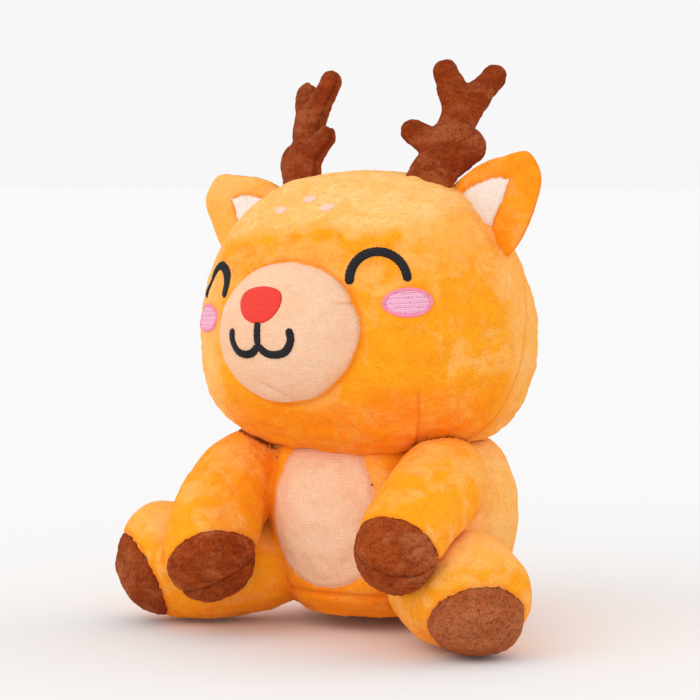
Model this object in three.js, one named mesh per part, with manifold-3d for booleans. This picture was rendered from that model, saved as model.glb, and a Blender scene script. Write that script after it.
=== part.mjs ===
// A seated plush deer with a large head, stuffed ears and antlers, four sewn-on limbs and a tail.
// Millimetres, +Z up. The deer faces -Y, its left side is +X, and it sits on the plane z = 0.
import * as THREE from "three";
import { mergeVertices } from "three/addons/utils/BufferGeometryUtils.js";
import Module from "manifold-3d";

const wasm = await Module();
wasm.setup();

const degrees = THREE.MathUtils.degToRad;
const at = (x, y, z) => new THREE.Vector3(x, y, z);
const place = ({ side, forward, level }) => at(side, -forward, level);

// Fabric and sewing
const GAP = 0.3; // clearance between neighbouring pieces
const COVER_THICKNESS = 2; // short-pile fabric with its backing
const STITCH_HEIGHT = 1.3; // how far satin stitches and sewn-on patches stand up
const FLEX_CLEARANCE = 0.6; // extra room at a seam that flexes
const OVERRUN = 400; // how far cutting blocks run past the toy
const MERGE_DISTANCE = 0.001;

// Neck and head. Heights on the head are measured from the neck seam.
const NECK_HEIGHT = 84;
const HEAD_FORWARD = 8;
const HEAD_SIDEWAYS = -1.3;
const HEAD_ROLL = degrees(-3.5);
const HEAD_HALF_WIDTH = 77.5;
const HEAD_HALF_DEPTH = 68;
const CHEEK_LEVEL = 47;
const CROWN_RISE = 70;
const CHIN_DROP = 56;
const CROWN_CURVE = { bend: 1.8, fullness: 2.8 };
const CHIN_CURVE = { bend: 3, fullness: 2.5 };
const HEAD_SIDE_SEAM = 10;

// Muzzle, nose and mouth
const MUZZLE_LEVEL = 50;
const MUZZLE_BASE_FORWARD = 57;
const MUZZLE_HALF_WIDTH = 35.5;
const MUZZLE_HALF_HEIGHT = 31.5;
const MUZZLE_DEPTH = 27;
const NOSE = { width: 24, height: 16.5, level: 61.8, side: -1.5 };
const MOUTH = { halfWidth: 15.2, level: 54, drop: 13, stroke: 3.4, stemFoot: 44 };

// Stitched features of the face. Bearings are measured round the head from straight ahead.
const EYE = { width: 27, rise: 13, stroke: 3.8, level: 70, bearing: degrees(37), rightBearing: degrees(42) };
const CHEEK = { width: 21, height: 12, level: 59.5, bearing: degrees(47) };
const RIGHT_SIDE_DROP = 3.2; // the right eye and cheek are stitched a little lower
const SPOT = { width: 7, height: 3, level: 102, centreLevel: 105.5, centreSide: 1.6, side: 12 };

// Ears
const EAR = {
  base: { side: 51.7, forward: -7.5, level: 92 },
  tip: { side: 88.7, forward: -4.4, level: 113.5 },
  innerHalfWidth: 20.7,
  outerHalfWidth: 24.8,
  tipCurl: 4.2,
  halfThickness: 6,
  turnIn: degrees(14.7),
  fold: 15,
};
const EAR_LINING = { below: 10, inner: 12.8, outer: 13, tipInner: 4, tip: 29, width: 11 };

// Antlers: flattened branches around a trunk that leans back
const ANTLER = {
  base: { side: 33.6, forward: -0.9, level: 107.5 },
  lean: degrees(32.6),
  splay: degrees(10.6),
  turnOut: degrees(28.8),
  flatnessShare: 0.72,
  flex: 8,
};
const TRUNK = { fromOut: 0, fromUp: -8, toOut: 0, toUp: 42.7, startRadius: 11.9, endRadius: 7.9 };
const INNER_TINE = { fromOut: 2.6, fromUp: 19.4, toOut: -16.6, toUp: 24.7, startRadius: 8.6, endRadius: 6 };
const OUTER_TINE = { fromOut: 0.5, fromUp: 11.3, toOut: 9.2, toUp: 26.4, startRadius: 9.4, endRadius: 8.6 };
const INNER_TIP = { fromOut: 0, fromUp: 39.7, toOut: -14.6, toUp: 57.6, startRadius: 8.2, endRadius: 6.3 };
const OUTER_TIP = { fromOut: 0, fromUp: 39.7, toOut: 6.8, toUp: 63, startRadius: 8, endRadius: 6 };

// Torso
const BODY_HALF_WIDTH = 59.5;
const BODY_HALF_DEPTH = 55;
const BODY_WIDEST_LEVEL = 50;
const BODY_SHOULDER = { halfWidth: 57.5, level: 66 };
const BODY_NECK_HALF_WIDTH = 46;
const BODY_HIP = { halfWidth: 57.5, level: 33 };
const BASE_SEAM = { halfWidth: 53, level: 17 };
const BASE_HALF_WIDTH = 42;
const BASE_LEVEL = 7.5; // the base panel hangs clear of the ground in front
const SEAT = { back: 26, halfWidth: 40, halfDepth: 22, halfHeight: 17, flattened: 0.5 };
const NECK_TUCK = 8;
const FRONT_PANEL_HALF_WIDTH = 31.5;
const BELLY = { halfWidth: 28, top: 98, bottom: 20.5, level: 46 };
const PELLET_BAG = { radius: 34, height: 18, restRadius: 20 };
const LABEL = { width: 12, reach: 18, tucked: 5, thickness: 0.8, bearing: degrees(108) };

// Arms. The left arm is carried a little higher than the right one.
const SHOULDER = { side: 46, forward: 27, level: 68 };
const ARM_RADII = [19.5, 20, 20, 20.2];
const CHIN_CLEARANCE = 2; // the head turns and the arms lift without touching
const ARM_DOME = 17;
const LEFT_ARM = {
  elbow: { side: 60, forward: 54, level: 68 },
  wrist: { side: 56.5, forward: 78.5, level: 45.5 },
  hoofTiltShares: { side: 0.1, forward: 0.65, level: -0.75 },
  raise: 14,
};
const RIGHT_ARM = {
  elbow: { side: -59, forward: 49, level: 58 },
  wrist: { side: -43, forward: 76, level: 33.5 },
  hoofTiltShares: { side: 0.35, forward: 0.45, level: -0.82 },
  raise: 20,
};
const ARM_HOOF_BACK = 4; // the hoof seam lies this far behind the centre of the rounded end
const HOOF_SPLIT_DROP = 1; // the tip seam lies this far below that centre

// Legs. Each runs from its hip towards its foot at a bearing from straight ahead.
const HIP = { side: 35.5, forward: 30.5, level: 27 };
const LEFT_LEG = { bearing: degrees(59), reach: 49, fall: 2.4, radii: [16.5, 21, 24.8, 25.2], dome: 25 };
const RIGHT_LEG = { bearing: degrees(58), reach: 48, fall: 0.8, radii: [18, 24, 26.8, 26.8], dome: 26 };
const LEG_HOOF_TILT = degrees(27);
const LEG_HOOF_AHEAD = 13;
const LEG_SPLAY = 14;

// Tail
const TAIL = {
  sunk: 1,
  level: 38,
  halfWidth: 10,
  halfThickness: 6.5,
  reach: 30,
  tucked: 7,
  rise: degrees(40),
  swing: 12,
};

const COLOURS = {
  orange: "#fba13a",
  cream: "#f4c39c",
  brown: "#9c4a24",
  red: "#f04f40",
  black: "#33302e",
  pink: "#f0a9be",
  white: "#f8e3d6",
  filling: "#f3f1ec",
  calico: "#e4dccb",
};

// Solids

// The closed solid inside a geometry, with its faces pointing out.
function solid(geometry) {
  const bare = new THREE.BufferGeometry();
  const loose = geometry.index ? geometry.toNonIndexed() : geometry;
  bare.setAttribute("position", loose.getAttribute("position"));
  const merged = mergeVertices(bare, MERGE_DISTANCE);
  const corners = merged.index.array;
  const kept = [];
  for (let i = 0; i < corners.length; i += 3) {
    const [a, b, c] = corners.subarray(i, i + 3);
    if (a !== b && b !== c && a !== c) kept.push(a, b, c);
  }
  const build = (order) =>
    new wasm.Manifold(
      new wasm.Mesh({
        numProp: 3,
        vertProperties: merged.attributes.position.array,
        triVerts: new Uint32Array(order),
      }),
    );
  const made = build(kept);
  if (made.volume() > 0) return made;
  const turned = [];
  for (let i = 0; i < kept.length; i += 3) turned.push(kept[i], kept[i + 2], kept[i + 1]);
  return build(turned);
}

// The geometry of a solid, ready for a mesh.
function geometryOf(made) {
  const { vertProperties, triVerts } = made.getMesh();
  const geometry = new THREE.BufferGeometry();
  geometry.setAttribute("position", new THREE.BufferAttribute(new Float32Array(vertProperties), 3));
  geometry.setIndex(new THREE.BufferAttribute(new Uint32Array(triVerts), 1));
  geometry.computeVertexNormals();
  return geometry;
}

// Everything on the side of a plane that its normal points to.
function beyond(point, normal) {
  const block = new THREE.BoxGeometry(2 * OVERRUN, 2 * OVERRUN, 2 * OVERRUN).translate(0, 0, OVERRUN);
  block.applyQuaternion(new THREE.Quaternion().setFromUnitVectors(at(0, 0, 1), normal.clone().normalize()));
  return solid(block.translate(point.x, point.y, point.z));
}

// A solid of revolution about Z from a profile of (radius, height) points that starts and ends on the axis.
function spun(profile, segments, depthShare) {
  return new THREE.LatheGeometry(profile, segments).rotateX(Math.PI / 2).scale(1, depthShare, 1);
}

// A profile moved outwards by an offset, square to itself.
function offsetProfile(profile, offset) {
  return profile.map((point, i) => {
    const before = profile[Math.max(i - 1, 0)];
    const after = profile[Math.min(i + 1, profile.length - 1)];
    const along = after.clone().sub(before).normalize();
    if (point.x === 0) along.set(Math.sign(along.x), 0);
    return new THREE.Vector2(
      point.x === 0 ? 0 : Math.max(point.x + along.y * offset, 0),
      point.y - along.x * offset,
    );
  });
}

// A value read smoothly from a list of sizes spread evenly from start to end.
function sizeAlong(sizes, share) {
  const points = sizes.map((size, i) => new THREE.Vector2(i / (sizes.length - 1), size));
  return new THREE.SplineCurve(points).getPoint(share).y;
}

// A stuffed limb: rings of changing radius along a curve, with a dome over each end.
function limbForm({ path, radii, dome, steps, sides }, offset) {
  const rings = [];
  const addRing = (share, radius, shift) => {
    const centre = path.getPointAt(share);
    const along = path.getTangentAt(share);
    const across = at(0, 0, 1).cross(along).normalize();
    const upward = along.clone().cross(across);
    centre.addScaledVector(along, shift);
    rings.push({ centre, across, upward, radius });
  };
  const domeSteps = 3;
  const rootRadius = radii[0] + offset;
  const endRadius = radii[radii.length - 1] + offset;
  const domeLength = dome + offset;
  for (let i = 0; i < domeSteps; i++) {
    const angle = (Math.PI / 2) * (i / domeSteps);
    addRing(0, rootRadius * Math.sin(angle), -rootRadius * Math.cos(angle));
  }
  for (let i = 0; i <= steps; i++) addRing(i / steps, sizeAlong(radii, i / steps) + offset, 0);
  for (let i = 1; i <= domeSteps; i++) {
    const angle = (Math.PI / 2) * (i / domeSteps);
    addRing(1, endRadius * Math.cos(angle), domeLength * Math.sin(angle));
  }
  const positions = [];
  const corner = ({ centre, across, upward, radius }, side) => {
    const angle = (2 * Math.PI * (side % sides)) / sides;
    const reach = Math.abs(radius) < MERGE_DISTANCE ? 0 : radius;
    return centre
      .clone()
      .addScaledVector(across, reach * Math.cos(angle))
      .addScaledVector(upward, reach * Math.sin(angle));
  };
  for (let i = 0; i + 1 < rings.length; i++) {
    for (let side = 0; side < sides; side++) {
      const low = [corner(rings[i], side), corner(rings[i], side + 1)];
      const high = [corner(rings[i + 1], side), corner(rings[i + 1], side + 1)];
      const corners = [low[0], low[1], high[1], low[0], high[1], high[0]];
      for (const point of corners) positions.push(...point.toArray());
    }
  }
  const geometry = new THREE.BufferGeometry();
  geometry.setAttribute("position", new THREE.BufferAttribute(new Float32Array(positions), 3));
  return solid(geometry);
}

// What is left of a flexing piece when its neighbour is kept clear over the whole range of the hinge.
function keptClear(piece, neighbour, hinge) {
  const steps = Math.max(1, Math.ceil((hinge.to - hinge.from) / hinge.step));
  let left = piece;
  for (let i = 0; i <= steps; i++) {
    const angle = hinge.from + ((hinge.to - hinge.from) * i) / steps;
    left = left.subtract(turned(neighbour, hinge, -angle));
  }
  return largest(left);
}

// A solid turned about a hinge.
function turned(made, hinge, angle) {
  const turn = new THREE.Quaternion().setFromAxisAngle(hinge.axis.clone().normalize(), degrees(angle));
  const { x, y, z } = hinge.at;
  return solid(geometryOf(made).translate(-x, -y, -z).applyQuaternion(turn).translate(x, y, z));
}

// The largest single body of a solid that a cut may have split.
function largest(made) {
  return made.decompose().sort((a, b) => b.volume() - a.volume())[0];
}

// A flat outline pushed straight through the toy along a direction, with its own upright.
function prism(shape, centre, forward, upright) {
  const facing = forward.clone().normalize();
  const side = upright.clone().cross(facing).normalize();
  const up = facing.clone().cross(side);
  const basis = new THREE.Matrix4().makeBasis(side, up, facing);
  const settings = { depth: OVERRUN, bevelEnabled: false, curveSegments: 5 };
  const geometry = new THREE.ExtrudeGeometry(shape, settings).applyMatrix4(basis);
  return solid(geometry.translate(centre.x, centre.y, centre.z));
}

// Outlines

function ellipseOutline(halfWidth, halfHeight, steps = 16) {
  const shape = new THREE.Shape();
  for (let i = 0; i < steps; i++) {
    const angle = (2 * Math.PI * i) / steps;
    shape[i ? "lineTo" : "moveTo"](halfWidth * Math.cos(angle), halfHeight * Math.sin(angle));
  }
  return shape;
}

// Points along part of an ellipse about (centre, 0).
function ellipseArc(centre, halfWidth, halfHeight, from, to, steps) {
  return Array.from({ length: steps + 1 }, (_, i) => {
    const angle = from + ((to - from) * i) / steps;
    return new THREE.Vector2(centre + halfWidth * Math.cos(angle), halfHeight * Math.sin(angle));
  });
}

// An arch of even stroke with round feet, standing on y = 0 and opening downwards.
function archOutline(width, rise, stroke) {
  const foot = stroke / 2;
  const footCentre = width / 2 - foot;
  return new THREE.Shape([
    ...ellipseArc(0, width / 2, rise, 0, Math.PI, 12),
    ...ellipseArc(-footCentre, foot, foot, Math.PI, 2 * Math.PI, 3).slice(1, -1),
    ...ellipseArc(0, width / 2 - stroke, rise - stroke, Math.PI, 0, 10),
    ...ellipseArc(footCentre, foot, foot, Math.PI, 2 * Math.PI, 3).slice(1, -1),
  ]);
}

// A rounded triangle that points down, centred on the origin.
function noseOutline({ width, height }) {
  const w = width / 2;
  const h = height / 2;
  const shape = new THREE.Shape();
  shape.moveTo(0, -h);
  shape.bezierCurveTo(w * NOSE_SHARES.tip, -h, w, -h * NOSE_SHARES.flank, w, h * NOSE_SHARES.cheek);
  shape.bezierCurveTo(w, h, w * NOSE_SHARES.brow, h, 0, h);
  shape.bezierCurveTo(-w * NOSE_SHARES.brow, h, -w, h, -w, h * NOSE_SHARES.cheek);
  shape.bezierCurveTo(-w, -h * NOSE_SHARES.flank, -w * NOSE_SHARES.tip, -h, 0, -h);
  return shape;
}
const NOSE_SHARES = { tip: 0.42, flank: 0.3, cheek: 0.3, brow: 0.62 };

// An egg that is broadest at its given level, between its bottom and top.
function bellyOutline({ halfWidth, top, bottom, level }, inset) {
  const shape = new THREE.Shape();
  shape.moveTo(halfWidth - inset, 0);
  shape.absellipse(0, 0, halfWidth - inset, top - level - inset, 0, Math.PI, false, 0);
  shape.absellipse(0, 0, halfWidth - inset, level - bottom - inset, Math.PI, 2 * Math.PI, false, 0);
  return shape;
}

// Forms

// The head without its neck cut, about the head's own upright axis.
function headForm(offset) {
  const halfWidth = HEAD_HALF_WIDTH + offset;
  const arc = (reach, { bend, fullness }, i, steps) => {
    const share = Math.sin((Math.PI / 2) * (i / steps));
    const radius = halfWidth * Math.max(1 - share ** bend, 0) ** (1 / fullness);
    return new THREE.Vector2(i === steps ? 0 : radius, CHEEK_LEVEL + reach * share);
  };
  const steps = 6;
  const profile = [];
  for (let i = steps; i > 0; i--) profile.push(arc(-(CHIN_DROP + offset), CHIN_CURVE, i, steps));
  for (let i = 0; i <= steps; i++) profile.push(arc(CROWN_RISE + offset, CROWN_CURVE, i, steps));
  return solid(spun(profile, 24, (HEAD_HALF_DEPTH + offset) / halfWidth));
}

function muzzleForm(offset) {
  const dome = new THREE.SphereGeometry(1, 16, 8).scale(
    MUZZLE_HALF_WIDTH + offset,
    MUZZLE_DEPTH + offset,
    MUZZLE_HALF_HEIGHT + offset,
  );
  return solid(dome.translate(0, -MUZZLE_BASE_FORWARD, MUZZLE_LEVEL));
}

// The body's outline from the edge of its base up to the neck, as radius and height.
function bodySide() {
  const point = (radius, height) => new THREE.Vector2(radius, height);
  return new THREE.SplineCurve([
    point(BASE_HALF_WIDTH, BASE_LEVEL),
    point(BASE_SEAM.halfWidth, BASE_SEAM.level),
    point(BODY_HIP.halfWidth, BODY_HIP.level),
    point(BODY_HALF_WIDTH, BODY_WIDEST_LEVEL),
    point(BODY_SHOULDER.halfWidth, BODY_SHOULDER.level),
    point(BODY_NECK_HALF_WIDTH, NECK_HEIGHT),
    point(0, NECK_HEIGHT + NECK_TUCK),
  ]);
}

// How far the back of the body lies behind its axis at a height.
function bodyDepthAt(level) {
  const nearest = bodySide()
    .getPoints(60)
    .reduce((best, point) => (Math.abs(point.y - level) < Math.abs(best.y - level) ? point : best));
  return (nearest.x * BODY_HALF_DEPTH) / BODY_HALF_WIDTH;
}

function bodyForm(offset) {
  const profile = [new THREE.Vector2(0, BASE_LEVEL), ...bodySide().getPoints(11)];
  profile[profile.length - 1].x = 0;
  const barrel = solid(spun(offsetProfile(profile, offset), 24, BODY_HALF_DEPTH / BODY_HALF_WIDTH));
  const seat = new THREE.SphereGeometry(1, 14, 8).scale(
    SEAT.halfWidth + offset,
    SEAT.halfDepth + offset,
    SEAT.halfHeight + offset,
  );
  const seated = solid(seat.translate(0, SEAT.back, SEAT.halfHeight - SEAT.flattened));
  return barrel.add(seated).intersect(beyond(at(0, 0, -offset), at(0, 0, 1)));
}

// The ear as a flattened leaf along the line from its base to its tip.
function earForm(offset) {
  const length = earReach();
  const { innerHalfWidth, outerHalfWidth, halfThickness } = EAR;
  const halfWidth = (innerHalfWidth + outerHalfWidth) / 2;
  const widths = EAR_SHARES.map(([along, width]) => [along * length, width * halfWidth]);
  const curve = new THREE.SplineCurve(widths.map(([along, width]) => new THREE.Vector2(width, along)));
  const profile = curve.getPoints(7);
  const thinness = (halfThickness + offset) / (halfWidth + offset);
  const leaf = new THREE.LatheGeometry(offsetProfile(profile, offset), 12).scale(1, 1, thinness);
  const places = leaf.getAttribute("position");
  for (let i = 0; i < places.count; i++) {
    const across = places.getX(i);
    const up = Math.max(places.getY(i), 0) / length;
    const breadth = (across > 0 ? outerHalfWidth : innerHalfWidth) / halfWidth;
    places.setX(i, across * breadth - EAR.tipCurl * up ** 2);
  }
  return leaf;
}
const EAR_SHARES = [
  [-0.75, 0],
  [-0.5, 0.75],
  [0, 0.95],
  [0.4, 0.93],
  [0.75, 0.62],
  [0.95, 0.35],
  [1, 0],
];

const earReach = () => place(EAR.tip).distanceTo(place(EAR.base));

// The ear's frame: X across the ear, Y from base to tip, Z out of its front face.
function earFrame() {
  const base = place(EAR.base);
  const along = place(EAR.tip).sub(base).normalize();
  const front = at(-Math.sin(EAR.turnIn), -Math.cos(EAR.turnIn), 0);
  const across = along.clone().cross(front).normalize();
  const facing = across.clone().cross(along);
  const matrix = new THREE.Matrix4().makeBasis(across, along, facing).setPosition(base);
  return { base, along, across, facing, matrix };
}

// The antler's frame: X outwards, Y up its trunk, Z out of its front face.
function antlerFrame() {
  const along = at(Math.sin(ANTLER.splay), Math.sin(ANTLER.lean), Math.cos(ANTLER.lean)).normalize();
  const outward = at(Math.cos(ANTLER.turnOut), Math.sin(ANTLER.turnOut), 0);
  const facing = outward.clone().cross(along).normalize();
  const across = along.clone().cross(facing);
  const base = place(ANTLER.base);
  return { base, across, matrix: new THREE.Matrix4().makeBasis(across, along, facing).setPosition(base) };
}

// One rounded, tapering branch in the antler's own plane.
function branch({ fromOut, fromUp, toOut, toUp, startRadius, endRadius }, offset) {
  const start = at(fromOut, fromUp, 0);
  const end = at(toOut, toUp, 0);
  const length = end.distanceTo(start);
  const steps = 2;
  const profile = [];
  const quarter = (radius, height, low) => {
    for (let i = 0; i <= steps; i++) {
      const angle = (Math.PI / 2) * (low ? i / steps - 1 : i / steps);
      const reach = i === (low ? 0 : steps) ? 0 : (radius + offset) * Math.cos(angle);
      profile.push(new THREE.Vector2(reach, height + (radius + offset) * Math.sin(angle)));
    }
  };
  quarter(startRadius, 0, true);
  quarter(endRadius, length, false);
  const turn = new THREE.Quaternion().setFromUnitVectors(at(0, 1, 0), end.clone().sub(start).normalize());
  return new THREE.LatheGeometry(profile, 8).applyQuaternion(turn).translate(start.x, start.y, start.z);
}

function antlerForm(offset) {
  const joined = [TRUNK, INNER_TINE, OUTER_TINE, INNER_TIP, OUTER_TIP]
    .map((size) => solid(branch(size, offset)))
    .reduce((whole, piece) => whole.add(piece));
  return geometryOf(joined).scale(1, 1, ANTLER.flatnessShare).applyMatrix4(antlerFrame().matrix);
}

// Pieces

// The toy's origin is on the ground, under the middle of its seat.
const toy = new THREE.Group();
toy.position.y = -SEAT.back;
const head = new THREE.Group();
head.position.set(HEAD_SIDEWAYS, -HEAD_FORWARD, NECK_HEIGHT);
head.rotation.y = HEAD_ROLL;
toy.add(head);

function piece(group, name, made, colour, roughness = 0.95) {
  const geometry = made.isBufferGeometry ? made : geometryOf(made);
  const material = new THREE.MeshStandardMaterial({ color: COLOURS[colour], roughness, metalness: 0 });
  const mesh = new THREE.Mesh(geometry, material);
  mesh.name = name;
  group.add(mesh);
}

// Everything above the neck seam, in the head's own tilted frame.
function aboveNeck() {
  const upright = at(0, 0, 1).applyAxisAngle(at(0, 1, 0), -HEAD_ROLL);
  return beyond(upright.clone().multiplyScalar(GAP / 2), upright);
}

const headSkin = headForm(0);
const headCore = headForm(-COVER_THICKNESS);

function addHead() {
  const above = aboveNeck();
  const shell = headSkin.subtract(headCore).intersect(above);
  const front = shell.intersect(beyond(at(0, HEAD_SIDE_SEAM - GAP / 2, 0), at(0, -1, 0)));
  piece(head, "face_cover", front.subtract(muzzleForm(GAP)), "orange");
  const rear = shell.intersect(beyond(at(0, HEAD_SIDE_SEAM + GAP / 2, 0), at(0, 1, 0)));
  piece(head, "head_back_left", rear.intersect(beyond(at(GAP / 2, 0, 0), at(1, 0, 0))), "orange");
  piece(head, "head_back_right", rear.intersect(beyond(at(-GAP / 2, 0, 0), at(-1, 0, 0))), "orange");
  const cavity = headForm(-COVER_THICKNESS - GAP);
  const filling = cavity.add(muzzleForm(-COVER_THICKNESS - GAP));
  piece(head, "head_stuffing", filling.intersect(above), "filling");
  const cap = muzzleForm(0).subtract(muzzleForm(-COVER_THICKNESS));
  piece(head, "muzzle_panel", largest(cap.subtract(headCore)), "cream");
}

// A raised skin that follows a form, cut to an outline seen from a direction.
function stitched(form, shape, centre, forward, upright = at(0, 0, 1)) {
  const skin = form(STITCH_HEIGHT + GAP).subtract(form(GAP));
  return largest(skin.intersect(prism(shape, centre, forward, upright)));
}

function addFace() {
  const ahead = at(0, -1, 0);
  const noseCentre = at(NOSE.side, -MUZZLE_BASE_FORWARD, NOSE.level);
  piece(head, "nose_embroidery", stitched(muzzleForm, noseOutline(NOSE), noseCentre, ahead), "red", 0.6);
  piece(head, "mouth_embroidery", mouth(), "black", 0.5);
  for (const [side, sign] of Object.entries({ left: 1, right: -1 })) {
    const facing = (bearing) => at(sign * Math.sin(bearing), -Math.cos(bearing), 0);
    const eyeShape = archOutline(EYE.width, EYE.rise, EYE.stroke);
    const drop = sign > 0 ? 0 : RIGHT_SIDE_DROP;
    const eyeCentre = at(0, 0, EYE.level - drop);
    const eyeBearing = sign > 0 ? EYE.bearing : EYE.rightBearing;
    const eye = stitched(headForm, eyeShape, eyeCentre, facing(eyeBearing));
    piece(head, `eye_embroidery_${side}`, eye, "black", 0.5);
    const cheekShape = ellipseOutline(CHEEK.width / 2, CHEEK.height / 2);
    const cheekCentre = at(0, 0, CHEEK.level - drop);
    const cheek = stitched(headForm, cheekShape, cheekCentre, facing(CHEEK.bearing));
    piece(head, `cheek_embroidery_${side}`, cheek, "pink", 0.6);
    piece(head, `forehead_spot_${side}`, spot(at(sign * SPOT.side, 0, SPOT.level)), "white", 0.6);
  }
  piece(head, "forehead_spot_centre", spot(at(SPOT.centreSide, 0, SPOT.centreLevel)), "white", 0.6);
}

function spot(centre) {
  return stitched(headForm, ellipseOutline(SPOT.width / 2, SPOT.height / 2, 12), centre, at(0, -1, 0));
}

// A short upright stitch from the nose that ends in two upturned curls.
function mouth() {
  const ahead = at(0, -1, 0);
  const curlWidth = MOUTH.halfWidth + MOUTH.stroke / 2;
  const curl = archOutline(curlWidth, MOUTH.drop, MOUTH.stroke);
  const stem = new THREE.Shape();
  stem.moveTo(-MOUTH.stroke / 2, MOUTH.stemFoot);
  stem.lineTo(MOUTH.stroke / 2, MOUTH.stemFoot);
  stem.lineTo(MOUTH.stroke / 2, NOSE.level);
  stem.lineTo(-MOUTH.stroke / 2, NOSE.level);
  let shape = prism(stem, at(NOSE.side, -MUZZLE_BASE_FORWARD, 0), ahead, at(0, 0, 1));
  for (const sign of [1, -1]) {
    const centre = at(NOSE.side + (sign * MOUTH.halfWidth) / 2, -MUZZLE_BASE_FORWARD, MOUTH.level);
    shape = shape.add(prism(curl, centre, ahead, at(0, 0, -1)));
  }
  const nose = noseOutline({ width: NOSE.width + 2 * GAP, height: NOSE.height + 2 * GAP });
  shape = shape.subtract(prism(nose, at(NOSE.side, -MUZZLE_BASE_FORWARD, NOSE.level), ahead, at(0, 0, 1)));
  return largest(muzzleForm(STITCH_HEIGHT + GAP).subtract(muzzleForm(GAP)).intersect(shape));
}

// Mirrors a geometry to the deer's right side when the sign is negative.
function sided(geometry, sign) {
  return sign > 0 ? geometry : geometry.clone().scale(-1, 1, 1);
}

// The lining's leaf in the ear's frame, wider on its outer side, bent inwards at the tip.
function liningOutline({ below, inner, outer, tipInner, tip, width }) {
  const shape = new THREE.Shape();
  shape.moveTo(-inner, -below);
  shape.lineTo(outer, -below);
  shape.quadraticCurveTo(width, tip / 2, -tipInner, tip);
  shape.quadraticCurveTo(-inner, tip - tipInner, -inner, -below);
  return shape;
}

function addEars() {
  const { base, along, across, facing, matrix } = earFrame();
  const hinge = { at: base, axis: across, from: -EAR.fold, to: EAR.fold, step: EAR.fold };
  const skullAndBand = headForm(FLEX_CLEARANCE);
  const outer = keptClear(solid(earForm(0).applyMatrix4(matrix)), skullAndBand, hinge);
  const inner = solid(earForm(-COVER_THICKNESS).applyMatrix4(matrix));
  const filling = solid(earForm(-COVER_THICKNESS - GAP).applyMatrix4(matrix)).intersect(outer);
  const cover = outer.subtract(inner);
  const skin = solid(earForm(STITCH_HEIGHT + GAP).applyMatrix4(matrix)).subtract(
    solid(earForm(GAP).applyMatrix4(matrix)),
  );
  const patch = skin.intersect(prism(liningOutline(EAR_LINING), base, facing, along));
  const clearPatch = keptClear(largest(patch), skullAndBand, hinge);
  for (const [side, sign] of Object.entries({ left: 1, right: -1 })) {
    piece(head, `ear_cover_${side}`, solid(sided(geometryOf(cover), sign)), "orange");
    piece(head, `ear_lining_${side}`, solid(sided(geometryOf(clearPatch), sign)), "white");
    piece(head, `ear_stuffing_${side}`, solid(sided(geometryOf(largest(filling)), sign)), "filling");
  }
}

function addAntlers() {
  const { base, across } = antlerFrame();
  const hinge = { at: base, axis: across, from: -ANTLER.flex, to: ANTLER.flex, step: ANTLER.flex };
  const outer = keptClear(solid(antlerForm(0)), headForm(FLEX_CLEARANCE), hinge);
  const cover = outer.subtract(solid(antlerForm(-COVER_THICKNESS)));
  const filling = largest(solid(antlerForm(-COVER_THICKNESS - GAP)).intersect(outer));
  for (const [side, sign] of Object.entries({ left: 1, right: -1 })) {
    piece(head, `antler_cover_${side}`, solid(sided(geometryOf(cover), sign)), "brown");
    piece(head, `antler_stuffing_${side}`, solid(sided(geometryOf(filling), sign)), "filling");
  }
}

const bodySkin = bodyForm(0);
const bodyCore = bodyForm(-COVER_THICKNESS);

function addTorso() {
  const below = beyond(at(0, 0, NECK_HEIGHT - GAP / 2), at(0, 0, -1));
  const shell = bodySkin.subtract(bodyCore).intersect(below);
  const upper = shell.intersect(beyond(at(0, 0, BASE_SEAM.level + GAP / 2), at(0, 0, 1)));
  const base = shell.intersect(beyond(at(0, 0, BASE_SEAM.level - GAP / 2), at(0, 0, -1)));
  piece(toy, "body_base_panel", base, "orange");
  const belly = (inset) =>
    prism(bellyOutline(BELLY, inset), at(0, 0, BELLY.level), at(0, -1, 0), at(0, 0, 1));
  piece(toy, "belly_patch", largest(upper.intersect(belly(GAP))), "cream");
  const panelWidth = 2 * FRONT_PANEL_HALF_WIDTH;
  const frontOf = (inset) =>
    solid(new THREE.BoxGeometry(panelWidth - 2 * inset, OVERRUN, OVERRUN).translate(0, -OVERRUN / 2, 0));
  piece(toy, "body_front_cover", largest(upper.intersect(frontOf(GAP)).subtract(belly(0))), "orange");
  const rear = upper.subtract(frontOf(0));
  const [right, left] = parted(rear, at(0, 0, 0), at(1, 0, 0));
  piece(toy, "body_side_left", left, "orange");
  piece(toy, "body_side_right", right, "orange");
  const bag = pelletBag(0);
  const well = new THREE.CylinderGeometry(PELLET_BAG.restRadius, PELLET_BAG.restRadius, bagLevel(), 14);
  const hollow = pelletBag(GAP).add(solid(well.rotateX(Math.PI / 2).translate(0, 0, bagLevel() / 2)));
  const filling = bodyForm(-COVER_THICKNESS - GAP).intersect(below).subtract(hollow);
  piece(toy, "body_stuffing", largest(filling), "filling");
  piece(toy, "pellet_bag", bag, "calico");
}

// The height of the middle of the pellet bag, which lies on the base panel.
function bagLevel() {
  return BASE_LEVEL + COVER_THICKNESS + 2 * GAP + PELLET_BAG.height / 2;
}

// A flat round bag inside the filling.
function pelletBag(offset) {
  const bag = new THREE.SphereGeometry(1, 14, 6).scale(
    PELLET_BAG.radius + offset,
    (PELLET_BAG.radius * BODY_HALF_DEPTH) / BODY_HALF_WIDTH + offset,
    PELLET_BAG.height / 2 + offset,
  );
  return solid(bag.translate(0, 0, bagLevel()));
}

// The two sides of a seam through a point: first behind it, then ahead of it.
function parted(made, point, normal) {
  const shift = normal.clone().multiplyScalar(GAP / 2);
  return [
    largest(made.intersect(beyond(point.clone().sub(shift), normal.clone().negate()))),
    largest(made.intersect(beyond(point.clone().add(shift), normal))),
  ];
}

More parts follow.
